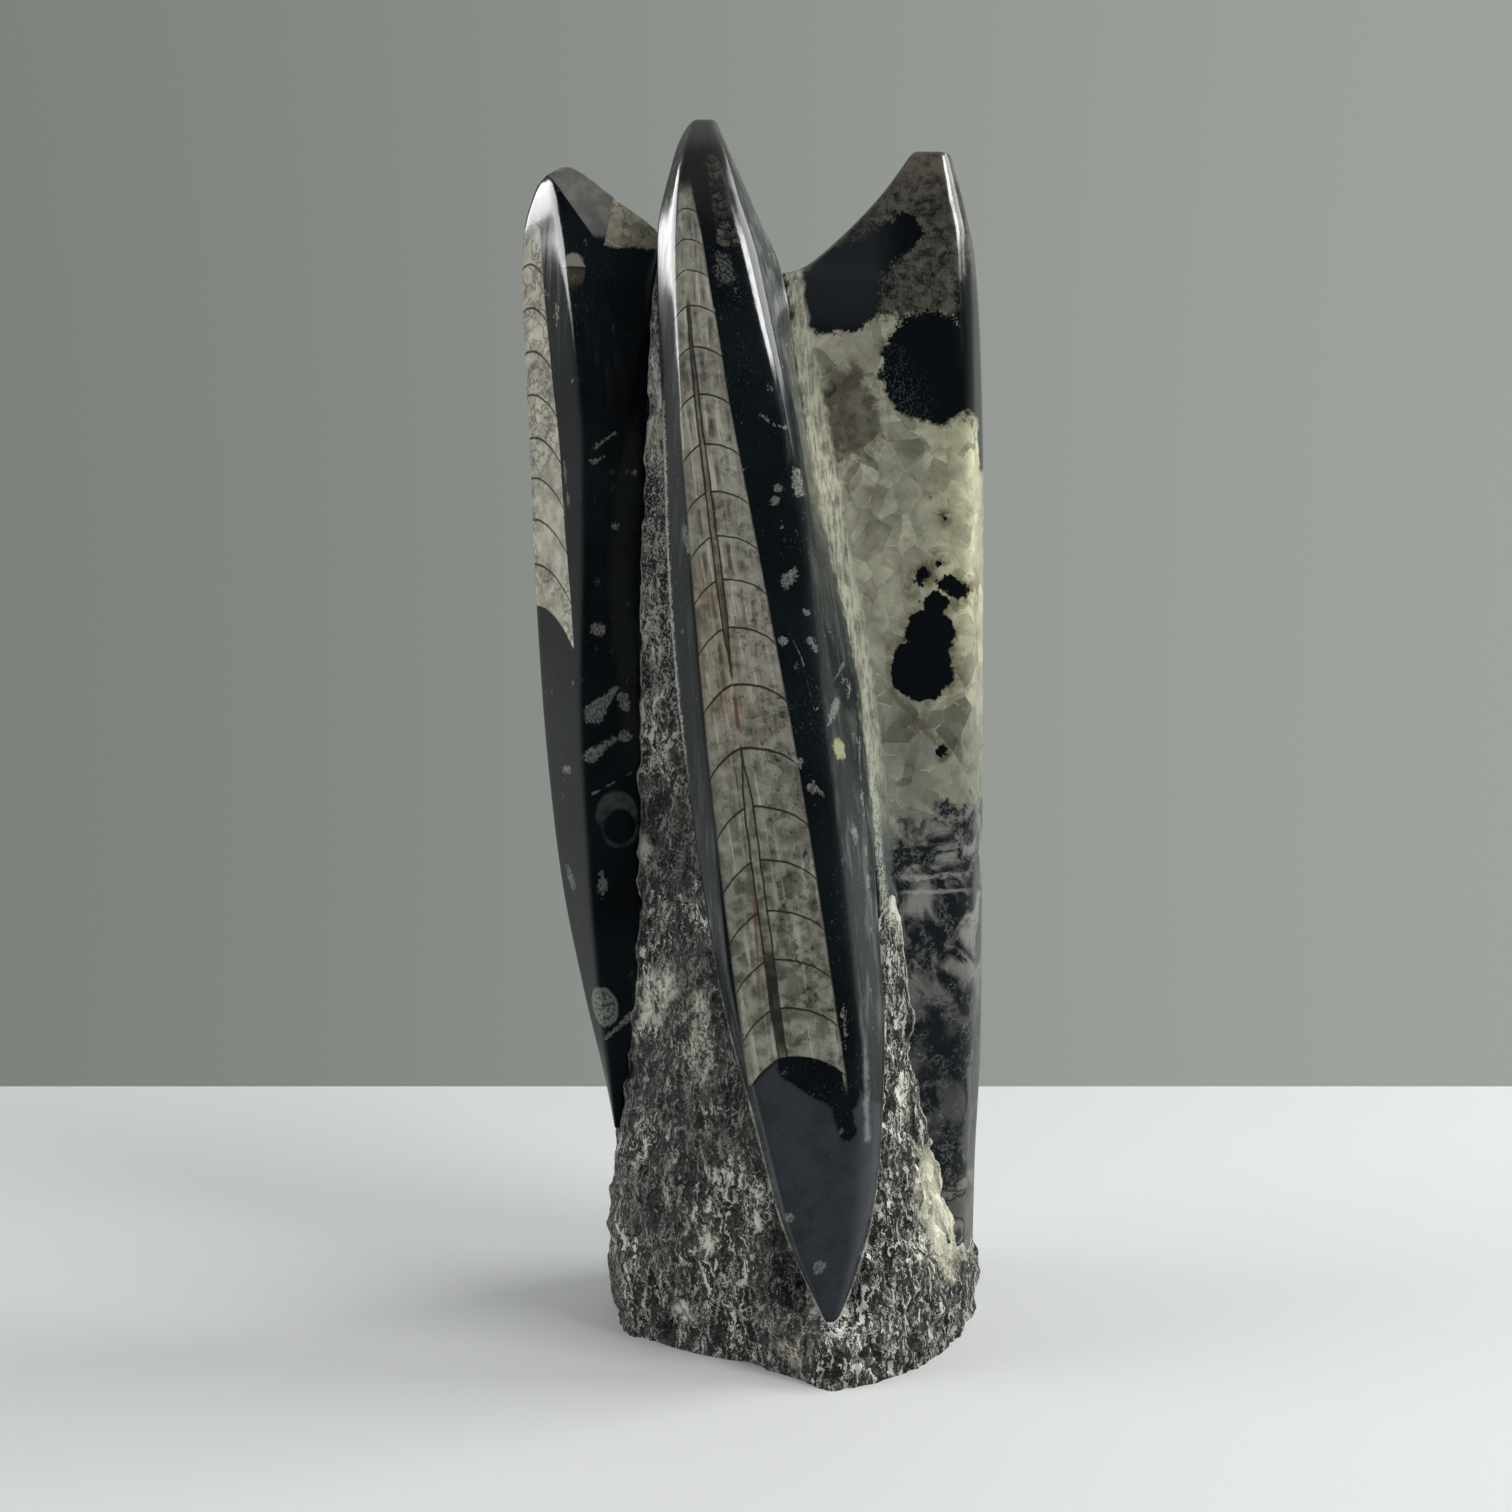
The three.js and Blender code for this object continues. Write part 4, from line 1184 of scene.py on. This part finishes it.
def floor():
    corners = [(-FLOOR_SIDE, FLOOR_FRONT, 0), (FLOOR_SIDE, FLOOR_FRONT, 0),
               (FLOOR_SIDE, FLOOR_REAR, 0), (-FLOOR_SIDE, FLOOR_REAR, 0)]
    piece = add_mesh("floor", corners, [(0, 1, 2, 3)])
    white = Graph(new_material("floor_white"))
    piece.data.materials.append(white.finish(shade((214, 216, 216)), 0.6))
    piece.visible_glossy = False


def softbox(name, azimuth, elevation, width, height, watts, lights=True, shines=True):
    """A panel aimed at the stone's upper half, in degrees round from the front and up from level. A panel
    that only lights isn't seen in the polish, and one that only shines is seen in nothing else."""
    light = bpy.data.lights.new(name, "AREA")
    light.shape = "RECTANGLE"
    light.size, light.size_y = width, height
    light.energy = watts
    piece = bpy.data.objects.new(name, light)
    around, up = math.radians(azimuth), math.radians(elevation)
    away = Vector((math.sin(around) * math.cos(up), -math.cos(around) * math.cos(up), math.sin(up)))
    piece.location = Vector(LIGHT_TARGET) + away * LIGHT_DISTANCE
    piece.rotation_euler = (-away).to_track_quat("-Z", "Y").to_euler()
    piece.visible_diffuse = lights
    piece.visible_glossy = shines
    piece.visible_camera = False
    bpy.context.scene.collection.objects.link(piece)


def surroundings():
    """A plain grey studio: lighter on the right, brightest far to the left, and dim behind the camera so
    that polished fronts stay black."""
    world = bpy.data.worlds.new("studio")
    bpy.context.scene.world = world
    world.use_nodes = True
    g = Graph(world)
    x, y, _ = g.outputs(g.make("SeparateXYZ", (g.make("TexCoord", (), "Generated"),)))
    wall = g.mix(g.step(x, -0.6, 0.6), (124, 128, 123), (160, 164, 158))
    wall = g.mix(g.step(x, -0.95, -0.5), (178, 182, 178), wall)
    wall = g.mix(g.step(y, -0.8, 0.05), (62, 66, 72), wall)
    g.feed(g.tree.nodes["Background"].inputs["Color"], wall)


def camera():
    lens = bpy.data.cameras.new("camera")
    lens.lens, lens.sensor_width = LENS, SENSOR
    lens.clip_start = 0.01
    piece = bpy.data.objects.new("camera", lens)
    piece.location = CAMERA_PLACE
    piece.rotation_euler = (math.radians(90 - CAMERA_LOOKS_DOWN), 0, 0)
    bpy.context.scene.collection.objects.link(piece)
    bpy.context.scene.camera = piece


floor()
surroundings()
softbox("left_window", -82, 38, 0.5, 0.4, 4.6, shines=False)
softbox("left_glint", -82, 34, 1.3, 0.5, 30.0, lights=False)
softbox("right_window", 60, 40, 0.45, 0.45, 8.6, shines=False)
softbox("right_glint", 50, 41, 0.4, 0.22, 7.0, lights=False)
softbox("right_glow", 84, 40, 0.7, 0.4, 6.0, lights=False)
softbox("far_right", 98, 33, 0.6, 0.5, 11.0, shines=False)
softbox("high_front", 10, 60, 1.0, 0.8, 1.2, shines=False)
softbox("overhead", 180, 75, 1.2, 1.0, 1.5)
camera()
bpy.context.scene.view_settings.view_transform = "Standard"
